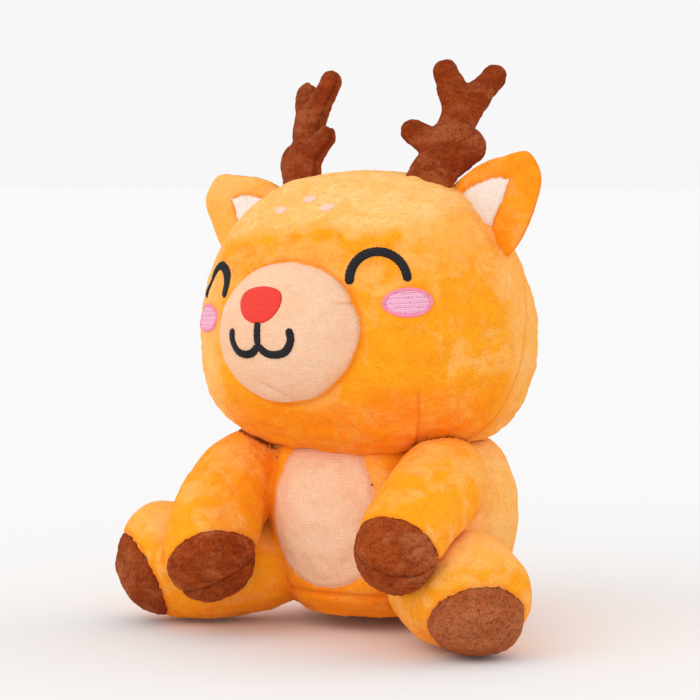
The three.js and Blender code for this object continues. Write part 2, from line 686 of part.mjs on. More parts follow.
function addLegs() {
  const forms = {};
  for (const [side, sign] of Object.entries({ left: 1, right: -1 })) {
    const { bearing, reach, fall, radii, dome } = sign > 0 ? LEFT_LEG : RIGHT_LEG;
    const outward = at(sign * Math.sin(bearing), -Math.cos(bearing), 0);
    const hip = at(sign * HIP.side, -HIP.forward, HIP.level);
    const foot = hip.clone().addScaledVector(outward, reach).add(at(0, 0, -fall));
    const limb = { path: new THREE.LineCurve3(hip, foot), radii, dome, steps: 4, sides: 12 };
    const turns = sign > 0 ? { from: 0, to: LEG_SPLAY } : { from: -LEG_SPLAY, to: 0 };
    const hinge = { at: hip, axis: at(0, 0, 1), step: LEG_SPLAY / 2, ...turns };
    const floor = beyond(at(0, 0, 0), at(0, 0, 1));
    const leg = largest(keptClear(limbForm(limb, 0), bodyForm(GAP), hinge).intersect(floor));
    const form = limbForm(limb, GAP);
    const swing = { ...hinge, from: -turns.to, to: -turns.from, step: LEG_SPLAY / 4 };
    forms[side] = { form, swing, splayed: turned(form, hinge, sign * LEG_SPLAY) };
    const cover = leg.subtract(limbForm(limb, -COVER_THICKNESS));
    const filling = limbForm(limb, -COVER_THICKNESS - GAP).intersect(leg);
    const down = at(0, 0, -Math.sin(LEG_HOOF_TILT));
    const normal = outward.clone().multiplyScalar(Math.cos(LEG_HOOF_TILT)).add(down);
    const seam = foot.clone().addScaledVector(outward, LEG_HOOF_AHEAD);
    const [sleeve, hoof] = parted(cover, seam, normal);
    piece(toy, `leg_cover_${side}`, sleeve, "orange");
    piece(toy, `leg_hoof_${side}`, hoof, "brown");
    piece(toy, `leg_stuffing_${side}`, largest(filling), "filling");
  }
  return forms;
}

function addArms(legs) {
  head.updateMatrix();
  const chin = solid(geometryOf(headForm(CHIN_CLEARANCE)).applyMatrix4(head.matrix));
  for (const [side, sign] of Object.entries({ left: 1, right: -1 })) {
    const size = sign > 0 ? LEFT_ARM : RIGHT_ARM;
    const { raise, hoofTiltShares } = size;
    const elbow = place(size.elbow);
    const wrist = place(size.wrist);
    const shoulder = at(sign * SHOULDER.side, -SHOULDER.forward, SHOULDER.level);
    const path = new THREE.QuadraticBezierCurve3(shoulder, elbow, wrist);
    const limb = { path, radii: ARM_RADII, dome: ARM_DOME, steps: 4, sides: 12 };
    const hinge = { at: shoulder, axis: at(-1, 0, 0), from: 0, to: raise, step: raise / 2 };
    let arm = limbForm(limb, 0);
    for (const neighbour of [bodyForm(GAP), chin]) arm = keptClear(arm, neighbour, hinge);
    arm = keptClear(arm, legs[side].form, legs[side].swing);
    arm = keptClear(arm, legs[side].splayed, hinge);
    const cover = arm.subtract(limbForm(limb, -COVER_THICKNESS));
    const filling = limbForm(limb, -COVER_THICKNESS - GAP).intersect(arm);
    const normal = place(hoofTiltShares).normalize();
    const seam = wrist.clone().addScaledVector(normal, -ARM_HOOF_BACK);
    const [sleeve, hoof] = parted(cover, seam, normal);
    const under = at(1, 0, 0).cross(normal).normalize();
    const [upper, lower] = parted(hoof, wrist.clone().addScaledVector(under, HOOF_SPLIT_DROP), under);
    piece(toy, `arm_cover_${side}`, sleeve, "orange");
    piece(toy, `arm_hoof_upper_${side}`, upper, "brown");
    piece(toy, `arm_hoof_lower_${side}`, lower, "brown");
    piece(toy, `arm_stuffing_${side}`, largest(filling), "filling");
  }
}

function addTail() {
  const rise = new THREE.Quaternion().setFromAxisAngle(at(1, 0, 0), -TAIL.rise);
  const root = at(0, bodyDepthAt(TAIL.level) - TAIL.sunk, TAIL.level);
  const form = (offset) =>
    solid(
      new THREE.SphereGeometry(1, 12, 8)
        .scale(TAIL.halfWidth + offset, TAIL.halfThickness + offset, TAIL.reach / 2 + offset)
        .translate(0, 0, TAIL.reach / 2 - TAIL.tucked)
        .applyQuaternion(rise)
        .translate(root.x, root.y, root.z),
    );
  const hinge = { at: root, axis: at(1, 0, 0), from: -TAIL.swing, to: TAIL.swing, step: TAIL.swing };
  const tail = keptClear(form(0), bodyForm(GAP), hinge);
  piece(toy, "tail_cover", tail.subtract(form(-COVER_THICKNESS)), "orange");
  piece(toy, "tail_stuffing", largest(form(-COVER_THICKNESS - GAP).intersect(tail)), "filling");
}

// A blank woven label that sticks out of the base seam.
function addCareLabel() {
  const label = new THREE.BoxGeometry(LABEL.width, LABEL.reach, LABEL.thickness)
    .translate(0, -BASE_SEAM.halfWidth - LABEL.reach / 2 + LABEL.tucked, BASE_SEAM.level)
    .rotateZ(LABEL.bearing);
  piece(toy, "care_label", solid(label).subtract(bodyForm(GAP)), "white");
}

addHead();
addFace();
addEars();
addAntlers();
addTorso();
addArms(addLegs());
addTail();
addCareLabel();

export default toy;
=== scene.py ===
import logging
import math
from dataclasses import dataclass, field
from enum import Enum
from typing import Callable, Sequence

import bmesh
import bpy
import numpy as np
from mathutils import Matrix, Vector
from mathutils.bvhtree import BVHTree
from mathutils.kdtree import KDTree


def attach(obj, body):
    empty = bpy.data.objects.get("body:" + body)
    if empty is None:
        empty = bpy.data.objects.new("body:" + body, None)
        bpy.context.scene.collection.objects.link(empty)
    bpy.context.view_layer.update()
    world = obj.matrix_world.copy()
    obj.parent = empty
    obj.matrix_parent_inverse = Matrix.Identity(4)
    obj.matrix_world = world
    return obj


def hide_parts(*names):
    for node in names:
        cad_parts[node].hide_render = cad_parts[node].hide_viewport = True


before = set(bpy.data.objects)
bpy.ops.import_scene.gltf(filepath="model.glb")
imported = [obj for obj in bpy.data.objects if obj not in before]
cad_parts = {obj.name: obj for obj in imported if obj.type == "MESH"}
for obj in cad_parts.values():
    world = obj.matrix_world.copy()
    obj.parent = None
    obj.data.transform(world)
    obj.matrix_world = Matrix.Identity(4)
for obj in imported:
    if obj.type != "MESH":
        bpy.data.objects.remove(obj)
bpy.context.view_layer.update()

LOG = logging.getLogger("plush")
Array = np.ndarray
Field = Callable[[Array], Array]
Outline = Callable[[Array, Array], Array]

BODY_AXIS = Vector((0.0, -0.026, 0.0))  # the torso's upright axis, ahead of the middle of the seat
NECK = Vector((-0.0013, -0.034, 0.084))
HEAD_ROLL = math.radians(-3.5)
HEAD_PLACE = Matrix.Translation(NECK) @ Matrix.Rotation(HEAD_ROLL, 4, "Y")
DENSE_BALL = 4000  # a ball with more faces is made at half the density and subdivided
SLIVER = 0.00003  # corners nearer than this are merged
CLOTH_FRAMES = 20  # how long the cloth swells
SEAM_CUTS = (0, -0.45, 0.45, -1, 1, -1.9, 1.9)  # where edges follow a seam, in widths of its valley
KNIT_PITCH = 0.00125  # from one knit row to the next
HOLE_PITCH = 0.0021  # from one row of needle holes to the next
HOLE_COLOUR = "#b86f86"
SPOT_HALF_WIDTH = 0.0034  # of a forehead spot
END_RUN = 1.4  # the stretch of the unit ball that a limb's rounded end takes up, in radii
FIRM, MEDIUM, SOFT, SLACK, FLAT = 0.8, 0.7, 0.6, 0.5, 0.4  # how firmly a piece is stuffed


class Side(Enum):
    """The toy's own left (+X) and right (-X)."""

    LEFT = 1
    RIGHT = -1

    @property
    def word(self) -> str:
        """The side as it is written in piece names."""
        return self.name.lower()


# Numbers and fields


def spline(points: Sequence, shares: Array) -> Array:
    """Reads a smooth curve through evenly spaced values.

    Args:
        points: The values, as numbers or as points.
        shares: Where to read, from 0 at the first value to 1 at the last.

    Returns:
        One value or point for each share.
    """
    given = np.asarray(points, float)
    last = len(given) - 1
    reach = np.clip(shares, 0, 1) * last
    index = np.minimum(reach.astype(int), last - 1)
    f = reach - index
    if given.ndim > 1:
        f = f[:, None]
    a, b = given[np.maximum(index - 1, 0)], given[index]
    c, d = given[index + 1], given[np.minimum(index + 2, last)]
    return 0.5 * (2 * b + (c - a) * f + (2 * a - 5 * b + 4 * c - d) * f**2 + (3 * b - a - 3 * c + d) * f**3)


def lumps(points: Array, size: float, seed: float = 0.0) -> Array:
    """Smooth noise from -1 to 1 at each point, with lumps about as wide as size.

    Args:
        points: Where to read the noise.
        size: The width of a lump.
        seed: A number that sets one pattern apart from another.

    Returns:
        One value for each point.
    """
    place = points / size + seed * np.array([7.31, 3.17, 1.93]) + 512.5
    corner = np.floor(place).astype(np.int64)
    f = place - corner
    f = f * f * f * (f * (f * 6 - 15) + 10)
    total = np.zeros(len(points))
    for i in (0, 1):
        for j in (0, 1):
            for k in (0, 1):
                x, y, z = corner[:, 0] + i, corner[:, 1] + j, corner[:, 2] + k
                mixed = (x * 73856093) ^ (y * 19349663) ^ (z * 83492791)
                mixed = (mixed ^ (mixed >> 13)) * 1274126177 & 0x7FFFFFFF
                value = ((mixed ^ (mixed >> 16)) & 0xFFFF) / 32767.5 - 1
                weight = np.ones(len(points))
                for axis, far in ((0, i), (1, j), (2, k)):
                    weight *= f[:, axis] if far else 1 - f[:, axis]
                total += weight * value
    return total


def smooth_max(a: Array, b: Array, width: float) -> Array:
    """The larger of two values, rounded over a width where they meet."""
    gap = np.clip(0.5 + 0.5 * (a - b) / width, 0, 1)
    return b * (1 - gap) + a * gap + width * gap * (1 - gap)


def transformed(points: Array, matrix: Matrix) -> Array:
    """Points moved by a 4 by 4 matrix."""
    m = np.array(matrix)
    return points @ m[:3, :3].T + m[:3, 3]


def plane(point: Sequence[float], normal: Sequence[float]) -> Field:
    """A field that is the distance ahead of a plane."""
    n = np.array(Vector(normal).normalized())
    p = np.array(point, float)
    return lambda points: (points - p) @ n


def ramp(values: Array, low: float, high: float) -> Array:
    """Values eased from 0 at low to 1 at high; high may be the smaller."""
    share = np.clip((values - low) / (high - low), 0, 1)
    return share * share * (3 - 2 * share)


def dip(distance: Array, width: float) -> Array:
    """A rounded valley: 1 where the distance is 0, gone at about twice the width."""
    return np.exp(-((distance / width) ** 2))


def most(*values: Array) -> Array:
    """The largest of several values at each point."""
    return np.maximum.reduce(values)


def slopes(surface: Field, points: Array, depth: Array, step: float) -> Array:
    """How steeply a field grows along X, Y and Z at each point.

    Args:
        surface: The field.
        points: Where to read its slope.
        depth: The field's values at the points.
        step: The distance over which the slope is measured.

    Returns:
        One direction for each point.
    """
    return np.stack([(surface(points + step * axis) - depth) / step for axis in np.eye(3)], axis=1)


def evened(data: bpy.types.Mesh, voxel: float) -> bpy.types.Mesh:
    """A new mesh of even faces round a closed one, which is removed."""
    holder = bpy.data.objects.new("uneven", data)
    bpy.context.scene.collection.objects.link(holder)
    remesh = holder.modifiers.new("even", "REMESH")
    remesh.mode, remesh.voxel_size = "VOXEL", voxel
    made = bpy.data.meshes.new_from_object(holder.evaluated_get(bpy.context.evaluated_depsgraph_get()))
    bpy.data.objects.remove(holder)
    bpy.data.meshes.remove(data)
    return made


# Skins


class Skin:
    """A dense fabric surface that is shaped, creased along its seams and split into panels."""

    def __init__(self, mesh: bmesh.types.BMesh) -> None:
        self.mesh = mesh
        # The layers hold painted shade at seams and joints, the knit rows, and painted light and shade with
        # some plain tone.
        for name in ("seam", "course", "nap"):
            if name not in mesh.verts.layers.float:
                mesh.verts.layers.float.new(name)

    @classmethod
    def ball(cls, around: int, along: int) -> "Skin":
        """A unit ball with its poles on Z, to be shaped by move."""
        mesh = bmesh.new()
        halved = 2 if around * along > DENSE_BALL else 1
        bmesh.ops.create_uvsphere(mesh, u_segments=around // halved, v_segments=along // halved, radius=1.0)
        if halved == 2:
            bmesh.ops.subdivide_edges(mesh, edges=mesh.edges[:], cuts=1, use_grid_fill=True)
        return cls(mesh).move(lambda p: p / np.linalg.norm(p, axis=1, keepdims=True))

    @classmethod
    def sheet(cls, along: int, across: int) -> "Skin":
        """A flat grid from -1 to 1 in X and Y, to be shaped by move."""
        mesh = bmesh.new()
        bmesh.ops.create_grid(mesh, x_segments=along, y_segments=across, size=1.0)
        return cls(mesh)

    @classmethod
    def grown(cls, parts: Sequence["Skin"], voxel: float, surface: Field) -> "Skin":
        """One even surface round several overlapping ones, settled onto a field's zero level.

        Args:
            parts: The overlapping closed surfaces.
            voxel: The distance between the new points.
            surface: The distance outside the wanted surface.

        Returns:
            The joined surface.
        """
        joined = bpy.data.meshes.new("joined")
        whole = bmesh.new()
        for part in parts:
            part.mesh.to_mesh(joined)
            whole.from_mesh(joined)
        whole.to_mesh(joined)
        even = evened(joined, voxel)
        mesh = bmesh.new()
        mesh.from_mesh(even)
        bpy.data.meshes.remove(even)
        bmesh.ops.triangulate(mesh, faces=mesh.faces[:])
        made = cls(mesh)
        every_axis = {f"use_axis_{axis}": True for axis in "xyz"}
        for _ in range(3):
            bmesh.ops.smooth_vert(mesh, verts=mesh.verts[:], factor=0.5, **every_axis)
            made.settle(surface)
        return made

    def settle(self, surface: Field) -> "Skin":
        """Moves every point onto a field's zero level."""
        points = self.points
        depth = surface(points)
        slope = slopes(surface, points, depth, 0.0001)
        steep = np.maximum((slope**2).sum(1), 0.2)
        return self.place(points - slope * (depth / steep)[:, None])

    def mirrored(self, side: "Side") -> "Skin":
        """The surface as it is for the left, or mirrored for the right."""
        if side is Side.RIGHT:
            self.move(lambda p: p * [-1, 1, 1])
            bmesh.ops.reverse_faces(self.mesh, faces=self.mesh.faces[:])
        return self

    def fuzz(self, size: float, height: float, seed: float = 0.0) -> "Skin":
        """Lifts small tufts of pile, so that the fabric's outline isn't smooth."""
        points = self.points
        tufts = lumps(points, size, seed) + 0.6 * lumps(points, size * 0.5, seed + 1)
        return self.swell(height * tufts)

    def read(self, kind: str, name: str, width: int) -> Array:
        """Reads one property of all points, edges or faces at once.

        Args:
            kind: vertices, edges or polygons.
            name: The property.
            width: How many numbers each item has.

        Returns:
            One row for each item.
        """
        data = bpy.data.meshes.new("reading")
        self.mesh.to_mesh(data)
        items = getattr(data, kind)
        values = np.empty(len(items) * width, np.int32 if name == "vertices" else np.float32)
        items.foreach_get(name, values)
        bpy.data.meshes.remove(data)
        return values.reshape(-1, width)

    @property
    def points(self) -> Array:
        """All corner points."""
        return self.read("vertices", "co", 3).astype(float)

    @property
    def normals(self) -> Array:
        """The outward normal at each point."""
        return self.read("vertices", "normal", 3).astype(float)

    def place(self, points: Array) -> "Skin":
        """Puts each corner at its new point."""
        for vert, point in zip(self.mesh.verts, points.tolist()):
            vert.co = point
        return self

    def move(self, change: Callable[[Array], Array]) -> "Skin":
        """Moves every point by a function of all points."""
        return self.place(change(self.points))

    def swell(self, amounts: Array) -> "Skin":
        """Moves every point along its normal."""
        return self.place(self.points + self.normals * amounts[:, None])

    def inset(self, depth: float) -> "Skin":
        """Moves every point inwards by the same depth."""
        return self.swell(np.full(len(self.mesh.verts), -depth))

    def lumpy(self, *waves: tuple[float, float, float]) -> "Skin":
        """Swells the surface unevenly, by waves of a height, a size and a seed each."""
        points = self.points
        return self.swell(sum(height * lumps(points, size, seed) for height, size, seed in waves))

    def mark(self, name: str, values: Array) -> "Skin":
        """Stores one number at each point, as the larger of the old and the new for seams."""
        layer = self.mesh.verts.layers.float[name]
        for vert, value in zip(self.mesh.verts, values.tolist()):
            vert[layer] = max(vert[layer], value) if name == "seam" else value
        return self

    def mark_all(self, name: str, value: float) -> "Skin":
        """Stores the same number at every point."""
        return self.mark(name, np.full(len(self.mesh.verts), value))

    def joined(self, other: "Skin") -> "Skin":
        """Takes up another skin's faces."""
        data = bpy.data.meshes.new("part")
        other.mesh.to_mesh(data)
        self.mesh.from_mesh(data)
        bpy.data.meshes.remove(data)
        return self

    def cut(self, seam: Field, level: float = 0.0, snap: float = 0.15) -> "Skin":
        """Adds edges where a field has a level, so that the surface can part along that line.

        Args:
            seam: The field.
            level: The value along which to cut.
            snap: The share of an edge within which a corner moves onto the line instead.

        Returns:
            The skin itself.
        """
        mesh = self.mesh
        values = seam(self.points) - level
        ends = values[self.read("edges", "vertices", 2)]
        found = np.nonzero(ends[:, 0] * ends[:, 1] < 0)[0]
        shares = ends[found, 0] / (ends[found, 0] - ends[found, 1])
        mesh.edges.ensure_lookup_table()
        crossing = [mesh.edges[i] for i in found.tolist()]
        moved: dict = {}
        splits = []
        for edge, share in zip(crossing, shares.tolist()):
            a, b = edge.verts
            if share < snap:
                moved[a] = a.co.lerp(b.co, share)
            elif share > 1 - snap:
                moved[b] = a.co.lerp(b.co, share)
            else:
                splits.append((edge, a, share))
        for vert, point in moved.items():
            vert.co = point
        made = [bmesh.utils.edge_split(edge, start, share)[1] for edge, start, share in splits]
        bmesh.ops.connect_verts(mesh, verts=[*made, *moved], check_degenerate=True)
        return self

    def crease(
        self, seam: Field, depth: float, width: float, ruck: float = 0.00025, share: Field | None = None
    ) -> "Skin":
        """Pulls the fabric in along a seam, with small puckers beside it, and marks the valley for painted
        shade.

        Args:
            seam: The distance from the seam, with a sign.
            depth: How deep the seam sits.
            width: How wide the valley is.
            ruck: The height of the puckers.
            share: How much of the seam there is at each point, where it fades out.

        Returns:
            The skin itself.
        """
        for line in SEAM_CUTS:
            self.cut(seam, line * width)
        points = self.points
        distance = np.abs(seam(points))
        near = distance < 5 * width
        there = np.ones(len(points)) if share is None else share(points)
        valley = np.exp(-((distance / width) ** 2)) + 0.35 * np.exp(-((distance / (2.6 * width)) ** 2))
        wrinkle = np.zeros(len(points))
        wrinkle[near] = lumps(points[near], 0.0045, 2.0) + 0.6 * lumps(points[near], 0.0022, 5.0)
        fade = np.exp(-distance / (2.2 * width))
        self.swell(there * (ruck * wrinkle * fade - depth * valley * (1 + 0.25 * wrinkle)))
        # The seam mark is painted shade in the valley, partly also the real seam line's colour.
        return self.mark("seam", there * np.exp(-((distance / (0.7 * width)) ** 2)))

    def keep(self, *fields: Field) -> "Skin":
        """A new skin of the faces that lie ahead of every field."""
        copy = self.mesh.copy()
        centres = self.read("polygons", "center", 3).astype(float)
        kept = np.ones(len(centres), bool)
        for part in fields:
            kept &= part(centres) > 0
        gone = [f for f, k in zip(copy.faces, kept) if not k]
        bmesh.ops.delete(copy, geom=gone, context="FACES")
        loose = [v for v in copy.verts if not v.link_faces]
        bmesh.ops.delete(copy, geom=loose, context="VERTS")
        return Skin(copy)

    def clear_of(self, neighbour: Field, gap: float, blend: float = 0.002) -> "Skin":
        """Presses the surface back where it would enter a neighbour.

        Args:
            neighbour: The distance outside the neighbour's surface.
            gap: The room that is left.
            blend: Over what depth the pressed stretch rounds off.

        Returns:
            The skin itself.
        """
        for _ in range(4):
            points = self.points
            depth = neighbour(points)
            slope = slopes(neighbour, points, depth, 0.0002)
            steep = np.maximum((slope**2).sum(1), 0.05)
            wanted = smooth_max(depth, np.full(len(depth), gap), blend)
            self.place(points + slope * ((wanted - depth) / steep)[:, None])
        return self

    def rooted(self, carrier: Field, gap: float) -> "Skin":
        """Ends the surface where it meets what it is sewn onto, and closes it there.

        Args:
            carrier: The distance outside what carries the piece.
            gap: The room left between them.

        Returns:
            The skin itself.
        """
        self.cut(carrier, gap)
        trimmed = self.keep(lambda p: carrier(p) - gap)
        self.mesh.free()
        self.mesh = trimmed.mesh
        rim = [e for e in self.mesh.edges if e.is_boundary]
        caps = bmesh.ops.holes_fill(self.mesh, edges=rim)["faces"]
        middles = bmesh.ops.poke(self.mesh, faces=caps)["verts"]
        for _ in range(3):
            for vert in middles:
                at = np.array([vert.co])
                slope = [(carrier(at + 1e-4 * axis)[0] - carrier(at)[0]) / 1e-4 for axis in np.eye(3)]
                vert.co += Vector(slope) * float(gap - carrier(at)[0])
        return self

    def tree(self) -> BVHTree:
        """A tree of the faces, for projecting onto the surface."""
        return BVHTree.FromBMesh(self.mesh)

    def mended(self) -> "Skin":
        """Merges slivers, drops folded faces and loose edges, and closes pinholes."""
        mesh = self.mesh
        bmesh.ops.remove_doubles(mesh, verts=mesh.verts[:], dist=SLIVER)
        bmesh.ops.dissolve_degenerate(mesh, edges=mesh.edges[:], dist=SLIVER)
        bmesh.ops.triangulate(mesh, faces=[f for f in mesh.faces if len(f.verts) > 4])
        for _ in range(3):
            crowded = {f for e in mesh.edges if len(e.link_faces) > 2 for f in e.link_faces}
            corners: dict = {}
            for face in crowded:
                corners.setdefault(frozenset(face.verts), []).append(face)
            folded = {f for group in corners.values() if len(group) > 1 for f in group}
            fins = {f for f in crowded if any(e.is_boundary for e in f.edges)}
            bmesh.ops.delete(mesh, geom=list(folded | fins), context="FACES_ONLY")
        bmesh.ops.delete(mesh, geom=[e for e in mesh.edges if not e.link_faces], context="EDGES")
        bmesh.ops.delete(mesh, geom=[v for v in mesh.verts if not v.link_edges], context="VERTS")
        bmesh.ops.holes_fill(mesh, edges=[e for e in mesh.edges if e.is_boundary], sides=16)
        return self

    def object(self, name: str) -> bpy.types.Object:
        """Makes the Blender object, with smooth shading and the stored numbers as attributes."""
        self.mended()
        data = bpy.data.meshes.new(name)
        self.mesh.to_mesh(data)
        data.shade_smooth()
        made = bpy.data.objects.new(name, data)
        bpy.context.scene.collection.objects.link(made)
        return made


@dataclass(frozen=True)
class Padding:
    """How a form is stuffed: its cloth starts slack and swells between its seams.

    Attributes:
        slack: How much smaller the form starts.
        cap: How far a point may move.
        voxel: The spacing of the simulated cloth.
        pressure: The pressure of the filling.
        spare: The spare length of the cloth, as a share.
        mass: The mass of each simulated point.
        stiffness: How little the cloth stretches.
    """

    slack: float = 0.0006
    cap: float = 0.0022
    voxel: float = 0.005
    pressure: float = 4.0
    spare: float = 0.012
    mass: float = 0.004
    stiffness: float = 0.06

    def stuff(self, skin: Skin, sewn: Field) -> Skin:
        """Swells a skin by a cloth simulation of its form.

        Args:
            skin: The dense, closed surface.
            sewn: How firmly each point is held by a seam or a neighbour, from 0 to 1.

        Returns:
            The skin itself.
        """
        scene = bpy.context.scene
        shape = skin.points - skin.normals * self.slack
        data = bpy.data.meshes.new("slack_cloth")
        skin.mesh.to_mesh(data)
        data.vertices.foreach_set("co", shape.ravel())
        coarse = evened(data, self.voxel)
        cloth = bpy.data.objects.new("slack_cloth", coarse)
        scene.collection.objects.link(cloth)
        rest = coordinates(coarse)
        group = cloth.vertex_groups.new(name="sewn")
        for index, share in enumerate(np.clip(sewn(rest), 0, 1).tolist()):
            group.add([index], share, "REPLACE")
        fabric = cloth.modifiers.new("fabric", "CLOTH")
        sizes = fabric.settings
        sizes.quality, sizes.mass = 6, self.mass
        sizes.tension_stiffness = sizes.compression_stiffness = sizes.shear_stiffness = self.stiffness
        sizes.bending_stiffness = 0.2 * self.stiffness
        sizes.vertex_group_mass = "sewn"
        sizes.use_pressure, sizes.uniform_pressure_force = True, self.pressure
        sizes.shrink_min = -self.spare
        sizes.effector_weights.gravity = 0
        fabric.collision_settings.use_collision = False
        fabric.point_cache.frame_start, fabric.point_cache.frame_end = 1, CLOTH_FRAMES
        for frame_number in range(1, CLOTH_FRAMES + 1):
            scene.frame_set(frame_number)
        swollen = cloth.evaluated_get(bpy.context.evaluated_depsgraph_get())
        moved = coordinates(swollen.data) - rest
        scene.frame_set(1)
        bpy.data.objects.remove(cloth)
        bpy.data.meshes.remove(coarse)
        length = np.linalg.norm(moved, axis=1, keepdims=True)
        moved *= self.cap * np.tanh(length / self.cap) / np.maximum(length, 1e-9)
        LOG.info("swollen by %.1f to %.1f mm", 1000 * length.min(), 1000 * length.max())
        return skin.place(shape + carried(rest, moved, shape))


LIMB_PADDING = Padding(voxel=0.004, pressure=70.0)


def coordinates(mesh: bpy.types.Mesh) -> Array:
    """All corner points of a mesh."""
    values = np.empty(len(mesh.vertices) * 3, np.float32)
    mesh.vertices.foreach_get("co", values)
    return values.reshape(-1, 3).astype(float)


def carried(rest: Array, moved: Array, points: Array) -> Array:
    """How far points move with the nearest points of a coarser cloth.

    Args:
        rest: The cloth's points before it moves.
        moved: How far each of them moves.
        points: The points that follow.

    Returns:
        One movement for each point.
    """
    tree = KDTree(len(rest))
    for index, point in enumerate(rest.tolist()):
        tree.insert(point, index)
    tree.balance()
    found = [[(index, reach) for _, index, reach in tree.find_n(point, 6)] for point in points.tolist()]
    near = np.array(found)
    weight = 1 / (near[:, :, 1] + 0.0008) ** 2
    return (moved[near[:, :, 0].astype(int)] * weight[:, :, None]).sum(1) / weight.sum(1)[:, None]


def ball_shares(points: Array) -> tuple[Array, Array]:
    """The bearing round Z and the share of the way from the lower to the upper pole."""
    return np.arctan2(points[:, 1], points[:, 0]), 1 - np.arccos(np.clip(points[:, 2], -1, 1)) / math.pi


@dataclass(frozen=True)
class Lathe:
    """A turned shape with an oval section.

    Attributes:
        outline: Radius and height from the lower to the upper pole.
        depth: The front-to-back size as a share of the width.
        axis: Where the upright axis stands.
    """

    outline: Array
    depth: float
    axis: Sequence[float] = (0.0, 0.0, 0.0)

    def shape(self, points: Array) -> Array:
        """Maps a unit ball onto the turned shape."""
        bearing, share = ball_shares(points)
        steps = np.linalg.norm(np.diff(self.outline, axis=0), axis=1)
        along = np.concatenate([[0], np.cumsum(steps)]) / steps.sum()
        radius = np.interp(share, along, self.outline[:, 0])
        height = np.interp(share, along, self.outline[:, 1])
        made = np.stack([radius * np.cos(bearing), radius * self.depth * np.sin(bearing), height], axis=1)
        return made + np.array(self.axis)

    def distance(self, points: Array) -> Array:
        """Roughly how far each point lies outside the surface."""
        p = points - np.array(self.axis)
        rho = np.hypot(p[:, 0], p[:, 1] / self.depth)
        outline = self.outline
        best = np.full(len(p), 1e9)
        order = np.argsort(outline[:, 1], kind="stable")
        wall = np.interp(p[:, 2], outline[order, 1], outline[order, 0])
        inside = (rho < wall) & (p[:, 2] > outline[:, 1].min()) & (p[:, 2] < outline[:, 1].max())
        for radius, height in outline[:: max(1, len(outline) // 90)]:
            best = np.minimum(best, np.hypot(rho - radius, p[:, 2] - height))
        return np.where(inside, -best, best)


@dataclass(frozen=True)
class Limb:
    """A stuffed tube along a curve, with rounded ends.

    Attributes:
        path: Three points of a curve that leaves the first and reaches the last.
        radii: Radii evenly spaced from root to end.
        dome: How far the end bulges past the path.
    """

    path: tuple[Vector, Vector, Vector]
    radii: tuple[float, ...]
    dome: float

    def centre(self, t: Array) -> tuple[Array, Array]:
        """Points and unit directions along the path."""
        a, b, c = (np.array(p) for p in self.path)
        t = t[:, None]
        point = (1 - t) ** 2 * a + 2 * t * (1 - t) * b + t**2 * c
        along = 2 * (1 - t) * (b - a) + 2 * t * (c - b)
        return point, along / np.linalg.norm(along, axis=1, keepdims=True)

    def shape(self, points: Array) -> Array:
        """Maps a unit ball onto the limb, its lower pole at the root."""
        bearing, share = ball_shares(points)
        length = self.length()
        root, end = self.radii[0], self.radii[-1]
        root_run, end_run = root * END_RUN, self.dome * END_RUN
        run = share * (root_run + length + end_run) - root_run
        t = np.clip(run / length, 0, 1)
        centre, along = self.centre(t)
        radius = spline(self.radii, t)
        root_turn = np.clip(-run / root_run, 0, 1) * math.pi / 2
        end_turn = np.clip((run - length) / end_run, 0, 1) * math.pi / 2
        radius = np.where(run < 0, root * np.cos(root_turn), radius)
        radius = np.where(run > length, end * np.cos(end_turn) ** 0.9, radius)
        shift = np.where(run < 0, -root * np.sin(root_turn), 0)
        shift = shift + np.where(run > length, self.dome * np.sin(end_turn), 0)
        across = np.cross(np.array([0, 0, 1.0]), along)
        across /= np.linalg.norm(across, axis=1, keepdims=True)
        upward = np.cross(along, across)
        sideways, raised = radius * np.cos(bearing), radius * np.sin(bearing)
        return centre + along * shift[:, None] + across * sideways[:, None] + upward * raised[:, None]

    def length(self) -> float:
        """The length of the path."""
        point, _ = self.centre(np.linspace(0, 1, 40))
        return float(np.linalg.norm(np.diff(point, axis=0), axis=1).sum())

    def distance(self, points: Array) -> Array:
        """How far each point lies outside the limb."""
        t = np.linspace(0, 1, 30)
        centre, _ = self.centre(t)
        radius = spline(self.radii, t)
        best = np.full(len(points), 1e9)
        for c, r in zip(centre, radius):
            best = np.minimum(best, np.linalg.norm(points - c, axis=1) - r)
        return best


# Finishes


def linear(colour: str) -> tuple[float, float, float, float]:
    """A written colour as the shader's numbers."""
    parts = [int(colour[i : i + 2], 16) / 255 for i in (1, 3, 5)]
    return (*[c / 12.92 if c < 0.04045 else ((c + 0.055) / 1.055) ** 2.4 for c in parts], 1.0)


